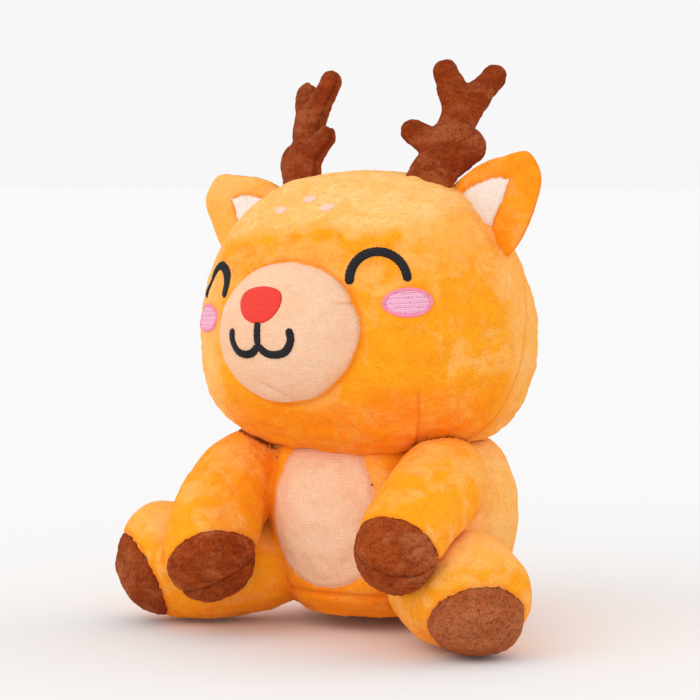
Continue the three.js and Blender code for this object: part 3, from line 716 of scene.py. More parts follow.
class Nodes:
    """Short names for adding and joining the nodes of one tree."""

    def __init__(self, tree: bpy.types.NodeTree) -> None:
        self.tree = tree

    def add(self, kind: str, **settings) -> bpy.types.Node:
        """Adds a node; settings are its properties, or its inputs where a name starts with in_."""
        node = self.tree.nodes.new(kind)
        for key, value in settings.items():
            if key.startswith("in_"):
                name = key[3:]
                target = node.inputs[int(name) if name.isdigit() else name.replace("_", " ")]
                if isinstance(value, bpy.types.NodeSocket):
                    self.tree.links.new(value, target)
                else:
                    target.default_value = value
            else:
                setattr(node, key, value)
        return node

    def math(self, operation: str, a, b=0.0, clamp: bool = False) -> bpy.types.NodeSocket:
        """One arithmetic step."""
        return self.add("ShaderNodeMath", operation=operation, use_clamp=clamp, in_0=a, in_1=b).outputs[0]

    def mix(self, factor, a, b, blend: str = "MIX") -> bpy.types.NodeSocket:
        """A mix of two colours."""
        node = self.add("ShaderNodeMix", data_type="RGBA", blend_type=blend)
        for socket, value in ((node.inputs[0], factor), (node.inputs[6], a), (node.inputs[7], b)):
            if isinstance(value, bpy.types.NodeSocket):
                self.tree.links.new(value, socket)
            else:
                socket.default_value = value
        return node.outputs[2]

    def noise(self, vector, scale: float, detail: float, twist: float = 0.0) -> bpy.types.NodeSocket:
        """Noise from 0 to 1."""
        settings = {"in_Vector": vector, "in_Scale": scale, "in_Detail": detail, "in_Distortion": twist}
        return self.add("ShaderNodeTexNoise", **settings).outputs[0]

    def vector(self, operation: str, **settings) -> bpy.types.NodeSocket:
        """One step of vector arithmetic."""
        return self.add("ShaderNodeVectorMath", operation=operation, **settings).outputs[0]

    def spread(self, value, low: float, high: float) -> bpy.types.NodeSocket:
        """A value stretched smoothly from low and high to 0 and 1."""
        return self.add(
            "ShaderNodeMapRange", interpolation_type="SMOOTHSTEP", in_Value=value, in_1=low, in_2=high
        ).outputs[0]

    def blend(self, *parts: tuple) -> bpy.types.NodeSocket:
        """The sum of values, each times its share."""
        total = None
        for value, share in parts:
            part = self.math("MULTIPLY", value, share)
            total = part if total is None else self.math("ADD", total, part)
        return total

    def waves(self, value, pitch: float) -> bpy.types.NodeSocket:
        """Waves from 0 to 1 along a length."""
        sine = self.math("SINE", self.math("MULTIPLY", value, 2 * math.pi / pitch))
        return self.math("ADD", self.math("MULTIPLY", sine, 0.5), 0.5)

    def attribute(self, name: str) -> bpy.types.NodeSocket:
        """A number stored on the mesh."""
        return self.add("ShaderNodeAttribute", attribute_name=name).outputs["Fac"]


def nap_group() -> bpy.types.NodeTree:
    """The plush fabric's pile: brushed patches and marks, tufts and their gaps, knit rows and height."""
    found = bpy.data.node_groups.get("pile")
    if found:
        return found
    tree = bpy.data.node_groups.new("pile", "ShaderNodeTree")
    for name, kind in (
        ("Vector", "NodeSocketVector"),
        ("Course", "NodeSocketFloat"),
        ("Fineness", "NodeSocketFloat"),
    ):
        tree.interface.new_socket(name, in_out="INPUT", socket_type=kind)
    for name in ("Patch", "Mark", "Tuft", "Gap", "Rows", "Height"):
        tree.interface.new_socket(name, in_out="OUTPUT", socket_type="NodeSocketFloat")
    nodes = Nodes(tree)
    given, result = nodes.add("NodeGroupInput"), nodes.add("NodeGroupOutput")
    vector, course = given.outputs["Vector"], given.outputs["Course"]
    fine = nodes.vector("SCALE", in_0=vector, in_Scale=given.outputs["Fineness"])
    drawn = nodes.vector("MULTIPLY", in_0=vector, in_1=(0.7, 0.7, 1.5))
    wide, close = nodes.noise(vector, 26.0, 2.0, 0.6), nodes.noise(vector, 85.0, 3.0, 0.8)
    blotch = nodes.blend((wide, 0.5), (close, 0.5))
    wide, close = nodes.noise(drawn, 60.0, 3.0, 1.0), nodes.noise(drawn, 190.0, 3.0, 1.2)
    mark = nodes.blend((wide, 0.5), (close, 0.5))
    grain = nodes.noise(fine, 1500.0, 2.0, 0.3)
    tufts = nodes.noise(fine, 560.0, 2.0, 1.4)
    wobble = nodes.math("MULTIPLY", nodes.math("SUBTRACT", nodes.noise(vector, 90.0, 1.0), 0.5), 0.0014)
    turn = nodes.math("MULTIPLY", nodes.math("ADD", course, wobble), 2 * math.pi / KNIT_PITCH)
    rows = nodes.math("MULTIPLY", nodes.math("SINE", turn), nodes.spread(tufts, 0.3, 0.7))
    for name, socket in (
        ("Patch", nodes.spread(blotch, 0.46, 0.58)),
        ("Mark", nodes.spread(mark, 0.42, 0.63)),
        ("Tuft", nodes.blend((grain, 0.6), (tufts, 0.4))),
        ("Gap", nodes.spread(nodes.blend((grain, 0.25), (tufts, 0.75)), 0.52, 0.38)),
        ("Rows", rows),
        ("Height", nodes.blend((grain, 0.45), (tufts, 0.6), (rows, 0.12))),
    ):
        tree.links.new(socket, result.inputs[name])
    return tree


class Finish:
    """A fabric or thread whose material is built once, when it is first used."""

    name: str
    slot: str

    def material(self) -> bpy.types.Material:
        """The finish's material."""
        found = bpy.data.materials.get(self.name)
        if found:
            return found
        made = bpy.data.materials.new(self.name)
        made.use_nodes = True
        made.node_tree.nodes.clear()
        nodes = Nodes(made.node_tree)
        shader = self.shade(nodes)
        made.node_tree.links.new(shader.outputs[0], nodes.add("ShaderNodeOutputMaterial").inputs[0])
        return made

    def shade(self, nodes: Nodes) -> bpy.types.Node:
        """Adds the finish's nodes and returns its shader."""
        raise NotImplementedError


@dataclass(frozen=True)
class Velvet(Finish):
    """Short-pile plush fabric.

    Attributes:
        name: The material's name.
        slot: The record's material slot; not used.
        base: The colour where the pile lies flat.
        pale: The colour of random pale patches, and the painted highlight on lit tops and sides.
        rich: The colour of random darker marks, and the painted shade low down and under things.
        deep: The colour between the tufts, and the painted shade in seam valleys, folds and limb joints.
        glow: The colour of the soft shine at grazing angles.
        patch: How strongly pale patches show.
        mark: How strongly brushed marks show.
        grain: How much the tufts change the brightness.
        gaps: How much shows between the tufts.
        rows: How much the knit rows show.
        sheen: How strong the soft shine is.
        pile: The height of the pile.
        fineness: How fine the tufts are.
    """

    name: str
    slot: str
    base: str
    pale: str
    rich: str
    deep: str
    glow: str
    patch: float = 0.4
    mark: float = 0.4
    grain: float = 0.3
    gaps: float = 0.15
    rows: float = 0.06
    sheen: float = 0.35
    pile: float = 0.0006
    fineness: float = 1.0

    def shade(self, nodes: Nodes) -> bpy.types.Node:
        """Adds the finish's nodes and returns its shader."""
        place = nodes.add("ShaderNodeTexCoord").outputs["Object"]
        pile = nodes.add(
            "ShaderNodeGroup",
            node_tree=nap_group(),
            in_Vector=place,
            in_Course=nodes.attribute("course"),
            in_Fineness=self.fineness,
        ).outputs
        pale, rich, deep = linear(self.pale), linear(self.rich), linear(self.deep)
        # Painted light and shade: the stored number turns the colour pale for painted highlight and rich
        # for painted shade; on a few pieces it only sets their tone.
        nap = nodes.math("MULTIPLY", nodes.attribute("nap"), nodes.spread(pile["Mark"], -1.2, 1.0))
        colour = nodes.mix(nodes.math("MULTIPLY", pile["Patch"], self.patch), linear(self.base), pale)
        colour = nodes.mix(nodes.math("MULTIPLY", pile["Mark"], self.mark), colour, rich)
        colour = nodes.mix(nodes.math("MULTIPLY", nap, 1.0, clamp=True), colour, pale)
        colour = nodes.mix(nodes.math("MULTIPLY", nap, -1.0, clamp=True), colour, rich)
        tufts = nodes.math("MULTIPLY", nodes.math("SUBTRACT", pile["Tuft"], 0.5), 2 * self.grain)
        rows = nodes.math("MULTIPLY", pile["Rows"], self.rows)
        bright = nodes.math("ADD", nodes.math("ADD", tufts, rows), 1.0)
        grey = nodes.add("ShaderNodeCombineColor", in_0=bright, in_1=bright, in_2=bright).outputs[0]
        colour = nodes.mix(1.0, colour, grey, "MULTIPLY")
        colour = nodes.mix(nodes.math("MULTIPLY", pile["Gap"], self.gaps), colour, deep)
        # Painted shade in seam valleys and limb joints, partly also the real seam line's darker colour.
        colour = nodes.mix(nodes.math("MULTIPLY", nodes.attribute("seam"), 0.45), colour, deep)
        bump = nodes.add("ShaderNodeBump", in_Strength=0.6, in_Distance=self.pile, in_Height=pile["Height"])
        shader = nodes.add("ShaderNodeBsdfPrincipled", in_Base_Color=colour, in_Normal=bump.outputs[0])
        shader.inputs["Roughness"].default_value = 0.95
        shader.inputs["Specular IOR Level"].default_value = 0.1
        shader.inputs["Sheen Weight"].default_value = self.sheen
        shader.inputs["Sheen Roughness"].default_value = 0.4
        shader.inputs["Sheen Tint"].default_value = linear(self.glow)
        return shader


@dataclass(frozen=True)
class Thread(Finish):
    """Satin-stitched embroidery thread.

    Attributes:
        name: The material's name.
        slot: The record's material slot; not used.
        base: The colour between the strands.
        light: The colour on top of the strands, a painted highlight.
        edge: The colour of the border stitches: a real rim colour on the cheeks, and painted shade round
            the nose.
        dots: How strongly rows of needle holes show.
        gloss: The roughness.
        pitch: The width of a strand.
    """

    name: str
    slot: str
    base: str
    light: str
    edge: str
    dots: float = 0.0
    gloss: float = 0.5
    pitch: float = 0.0009

    def shade(self, nodes: Nodes) -> bpy.types.Node:
        """Adds the finish's nodes and returns its shader."""
        place = nodes.add("ShaderNodeTexCoord").outputs["Object"]
        course = nodes.attribute("course")
        strand = nodes.waves(course, self.pitch)
        fleck = nodes.noise(place, 1500.0, 2.0, 0.5)
        shade = nodes.blend((strand, 0.45), (fleck, 0.55))
        # Painted highlight on the strands' tops, broken by flecks.
        colour = nodes.mix(nodes.spread(shade, 0.25, 0.75), linear(self.base), linear(self.light))
        hole = nodes.spread(nodes.waves(course, HOLE_PITCH), 0.72, 0.95)
        hole = nodes.math("MULTIPLY", hole, nodes.spread(fleck, 0.45, 0.60))
        hole = nodes.math("MULTIPLY", hole, self.dots)
        colour = nodes.mix(hole, colour, linear(HOLE_COLOUR))
        # The border mark: the cheeks' rim colour, and painted shade round the nose.
        edge = nodes.math("MULTIPLY", nodes.attribute("nap"), 1.0, clamp=True)
        colour = nodes.mix(edge, colour, linear(self.edge))
        bump = nodes.add("ShaderNodeBump", in_Strength=0.7, in_Distance=0.0003, in_Height=shade)
        shader = nodes.add("ShaderNodeBsdfPrincipled", in_Base_Color=colour, in_Normal=bump.outputs[0])
        shader.inputs["Roughness"].default_value = self.gloss
        shader.inputs["Specular IOR Level"].default_value = 0.2
        return shader


# In the plush fabrics the pale colour is also a painted highlight, rich also a painted shade low down, and
# deep also a painted shade in seams and joints.
ORANGE = Velvet(
    "plush_orange", "orange_plush", "#ffa61e", "#ffcb80", "#ff8b14", "#ea6c14", "#ffb560",
    mark=0.36, gaps=0.14, sheen=0.34,
)
CREAM = Velvet(
    "plush_cream", "cream_plush", "#f5c5a0", "#fad4b6", "#f1bb94", "#dc9a6c", "#fbd6b8",
    mark=0.3, grain=0.24, gaps=0.10,
)
BROWN = Velvet(
    "plush_brown", "brown_plush", "#a5491c", "#c87d50", "#832f0b", "#561d06", "#bf7440",
    mark=0.75, grain=0.5, gaps=0.45, rows=0.0, sheen=0.22, pile=0.0009, fineness=1.15,
)
WHITE = Velvet(
    "plush_white", "white_plush", "#f4e6dc", "#faf0ea", "#eedccd", "#d8b7a0", "#fbf1ea",
    mark=0.3, grain=0.2, gaps=0.12,
)
FILLING = Velvet(
    "loose_filling", "filling", "#f3f1ec", "#ffffff", "#e6e2da", "#d2cec6", "#ffffff",
    grain=0.15, gaps=0.3, fineness=0.4,
)
CALICO = Velvet(
    "calico", "calico", "#e4dccb", "#efe9dc", "#d9cfbb", "#c8bfa9", "#efe9dc",
    patch=0.2, grain=0.1, rows=0.2,
)
# Each thread's light colour is a painted highlight on its strands; the red thread's edge colour is painted
# shade round the nose.
BLACK_THREAD = Thread("thread_black", "black_thread", "#0a080a", "#2a272c", "#0a080a")
RED_THREAD = Thread("thread_red", "red_thread", "#ea3024", "#f74b3d", "#a5281d", pitch=0.0006)
PINK_THREAD = Thread("thread_pink", "pink_thread", "#ee9dbd", "#fac6dd", "#f892ac", dots=0.75)
PALE_THREAD = Thread("thread_pale", "pale_thread", "#f6c6aa", "#fbd6c0", "#f6c6aa", pitch=0.0006)
LABEL_SATIN = Thread("label_satin", "label_satin", "#ebe9e6", "#ffffff", "#ebe9e6")


def finish_piece(
    skin: Skin, name: str, body: str, finish: Finish
) -> bpy.types.Object:
    """Turns a skin into a named piece that rides on its body.

    Args:
        skin: The surface.
        name: The piece's name.
        body: The body that carries it.
        finish: Its fabric or thread.

    Returns:
        The object.
    """
    made = skin.object(f"soft_{name}")
    made.data.materials.append(finish.material())
    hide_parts(name)
    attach(made, body)
    LOG.info("%s: %d points", name, len(made.data.vertices))
    return made


# Head


def head_outline() -> Array:
    """The head's outline, from under the chin to the crown."""
    angle = np.linspace(0, math.pi / 2, 160)
    low, high = np.sin(angle[::-1]), np.sin(angle[1:])
    chin = np.stack([0.0775 * (1 - low**3) ** (1 / 2.5), 0.047 - 0.056 * low], axis=1)
    crown = np.stack([0.0775 * (1 - high**1.8) ** (1 / 2.8), 0.047 + 0.070 * high], axis=1)
    return np.concatenate([chin, crown])


@dataclass
class Head:
    """The head with its panels, muzzle and stitched face, built about its own upright axis."""

    muzzle_centre: tuple[float, float, float] = (0.0, -0.057, 0.0487)
    muzzle_radii: tuple[float, float, float] = (0.0355, 0.027, 0.0315)
    side_seam: tuple[float, float] = (0.0085, 0.042)
    seam_lean: float = math.radians(18)
    dart_bearing: float = math.radians(49.5)
    sway: float = 0.0046
    form: Lathe = field(default_factory=lambda: Lathe(head_outline(), 68 / 77.5))
    surface: BVHTree | None = None
    muzzle_surface: BVHTree | None = None

    def muzzle_distance(self, points: Array) -> Array:
        """Roughly how far each point lies outside the muzzle's dome."""
        rel = (points - np.array(self.muzzle_centre)) / np.array(self.muzzle_radii)
        return (np.linalg.norm(rel, axis=1) - 1) * 0.031

    def behind_side_seam(self, points: Array) -> Array:
        """How far each point lies behind the seam that runs down both sides of the head."""
        back, level = self.side_seam
        lean = self.seam_lean
        return (points[:, 1] - back) * math.cos(lean) - (points[:, 2] - level) * math.sin(lean)

    def swayed(self, points: Array) -> Array:
        """How far the stuffing sags to one side near the chin."""
        return self.sway * np.clip((0.022 - points[:, 2]) / 0.022, 0, 1.3) ** 1.6

    def distance(self, points: Array) -> Array:
        """Roughly how far each point, given in the toy's frame, lies outside the head."""
        local = transformed(points, HEAD_PLACE.inverted())
        local[:, 0] -= self.swayed(local)
        return self.form.distance(local)

    def settle(self, points: Array) -> Array:
        """Flattens the underside on the neck, while the chin hangs lower ahead of it."""
        points = points + self.swayed(points)[:, None] * np.array([1.0, 0.0, 0.0])
        up = np.array(HEAD_PLACE.to_3x3().transposed() @ Vector((0, 0, 1)))
        height = points @ up
        outward = transformed(points, HEAD_PLACE) - np.array(BODY_AXIS)
        reach = np.hypot(outward[:, 0], outward[:, 1] * 1.08)
        floor = 0.0004 - 0.009 * np.clip((reach - 0.0465) / 0.006, 0, 1)
        rest = smooth_max(height, floor, 0.003)
        return points + up * (rest - height)[:, None]

    def build(self) -> None:
        """Makes and dresses the head's fabric."""
        skin = Skin.ball(280, 190).move(self.form.shape)
        side = self.behind_side_seam
        back = lambda p: np.where(side(p) > -0.002, p[:, 0], 1.0)
        sewn = lambda p: most(dip(side(p), 0.006), dip(back(p), 0.006), dip(self.muzzle_distance(p), 0.008))
        Padding().stuff(skin, sewn)
        skin.lumpy((0.0008, 0.030, 1.0), (0.0004, 0.011, 3.0))
        skin.crease(side, 0.0010, 0.0012)
        skin.crease(back, 0.0011, 0.0014)
        skin.crease(self.muzzle_distance, 0.0004, 0.0012, 0.0002)
        for which in Side:
            turn = self.dart_bearing * which.value
            dart = plane((0, 0, 0), (math.cos(turn), math.sin(turn), 0))
            below = lambda p, s=which.value: ramp(p[:, 2], 0.026, 0.018) * (p[:, 1] < 0) * (s * p[:, 0] > 0)
            skin.crease(dart, 0.0007, 0.0010, 0.0003, below)
        skin.move(self.settle)
        points = skin.points
        skin.mark("course", points[:, 2])
        # Painted light and shade: the crown, the near temple, the toy's right side and the back are painted
        # paler as highlight and sheen; the lower head is painted richer as shade, and a band across the
        # front at brow height is made richer too.
        level = points[:, 2] + 0.005 * lumps(points, 0.020, 6.0) + 0.002 * lumps(points, 0.007, 2.0)
        aside = points[:, 0] + 0.003 * lumps(points, 0.012, 5.0)
        temple = 0.6 * ramp(level, 0.068, 0.084) * ramp(aside, 0.042, 0.058)
        behind = 0.6 * ramp(points[:, 1] + aside - points[:, 0], -0.016, 0.002)
        pale = most(ramp(level, 0.088, 0.099), 0.8 * ramp(-aside, 0.036, 0.058), temple, behind)
        rich = 0.9 * ramp(level, 0.030, 0.010) + 0.4 * dip(level - 0.082, 0.008) * (points[:, 1] < 0)
        skin.mark("nap", pale - rich * (1 - pale))
        self.surface = skin.tree()
        outside_muzzle = lambda p: self.muzzle_distance(p) + 0.004
        ahead = lambda p: -side(p)
        self.publish(skin.keep(ahead, outside_muzzle), "face_cover", ORANGE, FIRM)
        for which in Side:
            half = lambda p, s=which.value: s * p[:, 0]
            self.publish(skin.keep(side, half), f"head_back_{which.word}", ORANGE, FIRM)
        self.build_muzzle()
        filling = Skin.ball(64, 48).move(self.form.shape).move(self.settle).inset(0.004)
        self.publish(filling, "head_stuffing", FILLING, FIRM)

    def build_muzzle(self) -> None:
        """Makes the domed panel that is set into the face."""
        radii, centre = np.array(self.muzzle_radii), np.array(self.muzzle_centre)
        skin = Skin.ball(150, 110).move(lambda p: p * radii + centre)
        skin.lumpy((0.0005, 0.018, 4.0), (0.0002, 0.007, 6.0))
        skin.crease(self.form.distance, 0.0009, 0.0014, 0.0002)
        cheek_dart = plane((0, 0, 0.0606), (0, 0, 1))
        chin_dart = plane((-0.0015, 0, 0.026), (0.58, 0, 0.81))
        skin.crease(cheek_dart, 0.0003, 0.0008, 0.0001, lambda p: ramp(p[:, 0], 0.026, 0.031))
        skin.crease(
            chin_dart, 0.0005, 0.0009, 0.0001, lambda p: dip(p[:, 0] + 0.0015, 0.006) * (p[:, 2] < 0.032)
        )
        skin.mark("course", skin.points[:, 2])
        self.muzzle_surface = skin.tree()
        self.publish(skin.keep(lambda p: self.form.distance(p) + 0.004), "muzzle_panel", CREAM, FIRM)

    def publish(self, skin: Skin, name: str, finish: Finish, fill: float | None = None) -> None:
        """Places a piece of the head and lets it ride on the head."""
        skin.move(lambda p: transformed(p, HEAD_PLACE))
        finish_piece(skin, name, "head", finish)


@dataclass
class Face:
    """The embroidery, stitched through the head's fabric.

    Attributes:
        head: The head that carries it.
        lift: How far the stitches stand up.
        eye_width: The width of an eye's line.
        stem_width: The width of the stitch under the nose.
        curl_width: The width of the mouth's curls.
        rim_width: The width of the line round a cheek.
        cheek_half_width: Half of a cheek's breadth.
        cheek_half_height: Half of a cheek's height.
        cheek_bearing: How far to the side a cheek faces.
        left_eye_bearing: How far to the side the left eye faces.
        right_eye_bearing: How far to the side the right eye faces.
        right_drop: How much lower the right eye and cheek sit.
        left_curl: The mouth's curl to the toy's right, by side and height.
        right_curl: The mouth's curl to the toy's left.
    """

    head: Head
    lift: float = 0.0011
    eye_width: float = 0.0041
    stem_width: float = 0.0034
    curl_width: float = 0.0036
    rim_width: float = 0.0015
    cheek_half_width: float = 0.0100
    cheek_half_height: float = 0.0056
    cheek_bearing: float = math.radians(47)
    left_eye_bearing: float = math.radians(37.5)
    right_eye_bearing: float = math.radians(42.5)
    right_drop: float = 0.0033
    left_curl: tuple = (
        (-0.0012, 0.0448), (-0.0046, 0.0418), (-0.0092, 0.0411),
        (-0.0136, 0.0428), (-0.0160, 0.0474), (-0.0157, 0.0522),
    )
    right_curl: tuple = (
        (-0.0012, 0.0448), (0.0022, 0.0415), (0.0068, 0.0405),
        (0.0114, 0.0419), (0.0142, 0.0465), (0.0134, 0.0514),
    )

    def stroke(
        self, path: Array, facing: Vector, width: float, on_muzzle: bool = False, closed: bool = False
    ) -> Skin:
        """A satin-stitched line that follows the fabric.

        Args:
            path: Side and height of each point of the middle line, across the view from facing.
            facing: The level direction from which the line is drawn.
            width: The line's width.
            on_muzzle: Whether it lies on the muzzle.
            closed: Whether its end meets its start.

        Returns:
            The raised line.
        """
        steps = len(path)
        skin = Skin.sheet(steps - 1, 8)
        tree = self.head.muzzle_surface if on_muzzle else self.head.surface
        flat = skin.points
        index = np.clip(np.round((flat[:, 0] + 1) / 2 * (steps - 1)).astype(int), 0, steps - 1)
        tangent = np.gradient(path, axis=0)
        tangent /= np.linalg.norm(tangent, axis=1, keepdims=True)
        across = np.stack([-tangent[:, 1], tangent[:, 0]], axis=1)
        run = np.concatenate([[0], np.cumsum(np.linalg.norm(np.diff(path, axis=0), axis=1))])
        ends = np.minimum(run, run[-1] - run)
        taper = np.sqrt(np.clip(1 - np.clip(1 - ends / (width * 0.45), 0, 1) ** 2, 0.12, 1))
        taper = np.ones(steps) if closed else taper
        jitter = 1 + 0.05 * lumps(np.outer(np.arange(steps), [1.0, 0.0, 0.0]), 0.7, 4.0)
        jitter += 0.03 * np.where(np.arange(steps) % 4 < 2, 1, -1)
        half = width / 2 * taper * jitter
        lateral = path[index] + across[index] * (flat[:, 1] * half[index])[:, None]
        rise = np.sqrt(np.clip(1 - flat[:, 1] ** 4, 0, 1)) * taper[index]
        ridge = 1 + 0.10 * np.where(index % 2, 1, -1)
        placed = []
        for (side, height), lifted in zip(lateral, rise * self.lift * ridge):
            placed.append(project(tree, facing, side, height, lifted - 0.0002))
        skin.place(np.array(placed))
        skin.mark("course", run[index])
        return skin

    def disc(self, outline: Outline, facing: Vector, on_muzzle: bool, rows: int) -> Skin:
        """A satin-stitched patch whose outline maps a square onto the fabric."""
        skin = Skin.sheet(36, rows)
        flat = skin.points
        lateral = outline(flat[:, 0], flat[:, 1])
        tree = self.head.muzzle_surface if on_muzzle else self.head.surface
        edge = np.maximum(np.abs(flat[:, 0]), np.abs(flat[:, 1]))
        rise = np.sqrt(np.clip(1 - edge**6, 0, 1))
        index = np.round((flat[:, 1] + 1) / 2 * rows).astype(int)
        lifted = self.lift * rise * (1 + 0.06 * np.where(index % 2, 1, -1)) - 0.0003
        skin.place(np.array([project(tree, facing, s, h, r) for (s, h), r in zip(lateral, lifted)]))
        skin.mark("course", lateral[:, 1])
        # The border is marked for the thread's edge colour, which on the nose is painted shade.
        return skin.mark("nap", 0.8 * ramp(edge, 0.90, 0.99))

    def build(self) -> None:
        """Stitches the eyes, nose, mouth, cheeks and forehead spots."""
        ahead = Vector((0, -1, 0))
        self.head.publish(self.disc(self.nose, ahead, True, 36), "nose_embroidery", RED_THREAD)
        self.head.publish(self.mouth(), "mouth_embroidery", BLACK_THREAD)
        for which in Side:
            word = which.word
            bearing = self.left_eye_bearing if which is Side.LEFT else self.right_eye_bearing
            eye = self.stroke(self.eye(which), self.facing(which, bearing), self.eye_width)
            self.head.publish(eye, f"eye_embroidery_{word}", BLACK_THREAD)
            cheek = self.cheek(which, self.facing(which, self.cheek_bearing))
            self.head.publish(cheek, f"cheek_embroidery_{word}", PINK_THREAD)
            spot = self.disc(oval(0.012 * which.value, 0.1015, SPOT_HALF_WIDTH, 0.0015), ahead, False, 10)
            self.head.publish(spot, f"forehead_spot_{word}", PALE_THREAD)
        top = self.disc(oval(0.0016, 0.1055, SPOT_HALF_WIDTH, 0.0014), ahead, False, 10)
        self.head.publish(top, "forehead_spot_centre", PALE_THREAD)

    def drop(self, which: Side) -> float:
        """How much lower the stitches of one side sit."""
        return self.right_drop if which is Side.RIGHT else 0.0

    def facing(self, which: Side, bearing: float) -> Vector:
        """The level direction from which a stitched shape is drawn."""
        turn = bearing * which.value
        return Vector((math.sin(turn), -math.cos(turn), 0))

    def nose(self, u: Array, v: Array) -> Array:
        """A square mapped onto a rounded triangle that points down."""
        x, y = square_to_disc(u, v)
        half_width = 0.0128 * (0.88 + 0.18 * y)
        return np.stack([-0.0015 + x * half_width - 0.0008 * y, 0.0616 + y * 0.0080], axis=1)

    def eye(self, which: Side) -> Array:
        """A closed eye: one arch that opens downwards."""
        half_width, rise = (0.0120, 0.0120) if which is Side.LEFT else (0.0105, 0.0128)
        angle = np.linspace(math.pi + 0.10, -0.10, 96)
        level = 0.0695 - self.drop(which)
        return np.stack([half_width * np.cos(angle), level + rise * np.sin(angle)], axis=1)

    def cheek(self, which: Side, facing: Vector) -> Skin:
        """An oval patch of pink stitches inside a raised rim."""
        level = 0.0595 - self.drop(which)
        wide, high = self.cheek_half_width, self.cheek_half_height
        patch = self.disc(oval(0.0, level, wide, high), facing, False, 22).mark_all("nap", 0.0)
        turn = np.linspace(-math.pi, math.pi, 97)
        path = np.stack([wide * np.cos(turn), level + high * np.sin(turn)], axis=1)
        rim = self.stroke(path, facing, self.rim_width, closed=True).mark_all("nap", 1.0)
        return patch.joined(rim)

    def mouth(self) -> Skin:
        """A short upright stitch that ends in two upturned curls."""
        ahead = Vector((0, -1, 0))
        shares = np.linspace(0, 1, 56)
        stem = spline([(-0.0009, 0.0548), (-0.0011, 0.0495), (-0.0012, 0.0448)], np.linspace(0, 1, 24))
        skin = self.stroke(stem, ahead, self.stem_width, True)
        for curl in (self.right_curl, self.left_curl):
            skin.joined(self.stroke(spline(curl, shares), ahead, self.curl_width, True))
        return skin


def oval(side: float, level: float, half_width: float, half_height: float) -> Outline:
    """A map from a square to an oval about a point."""

    def outline(u: Array, v: Array) -> Array:
        x, y = square_to_disc(u, v)
        return np.stack([side + x * half_width, level + y * half_height], axis=1)

    return outline


def square_to_disc(u: Array, v: Array) -> tuple[Array, Array]:
    """Maps a square from -1 to 1 onto the unit disc without creases."""
    return u * np.sqrt(1 - v**2 / 2), v * np.sqrt(1 - u**2 / 2)


def project(tree: BVHTree, facing: Vector, side: float, height: float, lift: float) -> Vector:
    """The point of a surface seen from facing at a side and height, lifted off along its normal."""
    right = Vector((-facing.y, facing.x, 0))
    start = right * side + facing * 0.2 + Vector((0, 0, height))
    hit, normal, _, _ = tree.ray_cast(start, -facing)
    if hit is None:
        raise ValueError(f"nothing to stitch on at {side:.4f}, {height:.4f}")
    return hit + normal * lift


# Ears, antlers and tail


def set_on_head(
    skin: Skin, place: Matrix, side: Side, kind: str, part: str, finish: Finish
) -> None:
    """Sets a piece of an ear or an antler on the head, where it rides on a body of its own.

    Args:
        skin: The surface, in its own frame, as it is for the left.
        place: Its frame on the head.
        side: The side that it is mirrored for.
        kind: ear or antler.
        part: What the piece is of it.
        finish: Its fabric.
    """
    skin.move(lambda p: transformed(p, place)).mirrored(side).move(lambda p: transformed(p, HEAD_PLACE))
    finish_piece(skin, f"{kind}_{part}_{side.word}", f"{kind}_{side.word}", finish)


def frame_of(place: Sequence[float], *axes: Vector) -> Matrix:
    """A matrix from its origin and its X, Y and Z directions."""
    turn = Matrix([axis.normalized() for axis in axes]).transposed().to_4x4()
    return Matrix.Translation(Vector(place)) @ turn


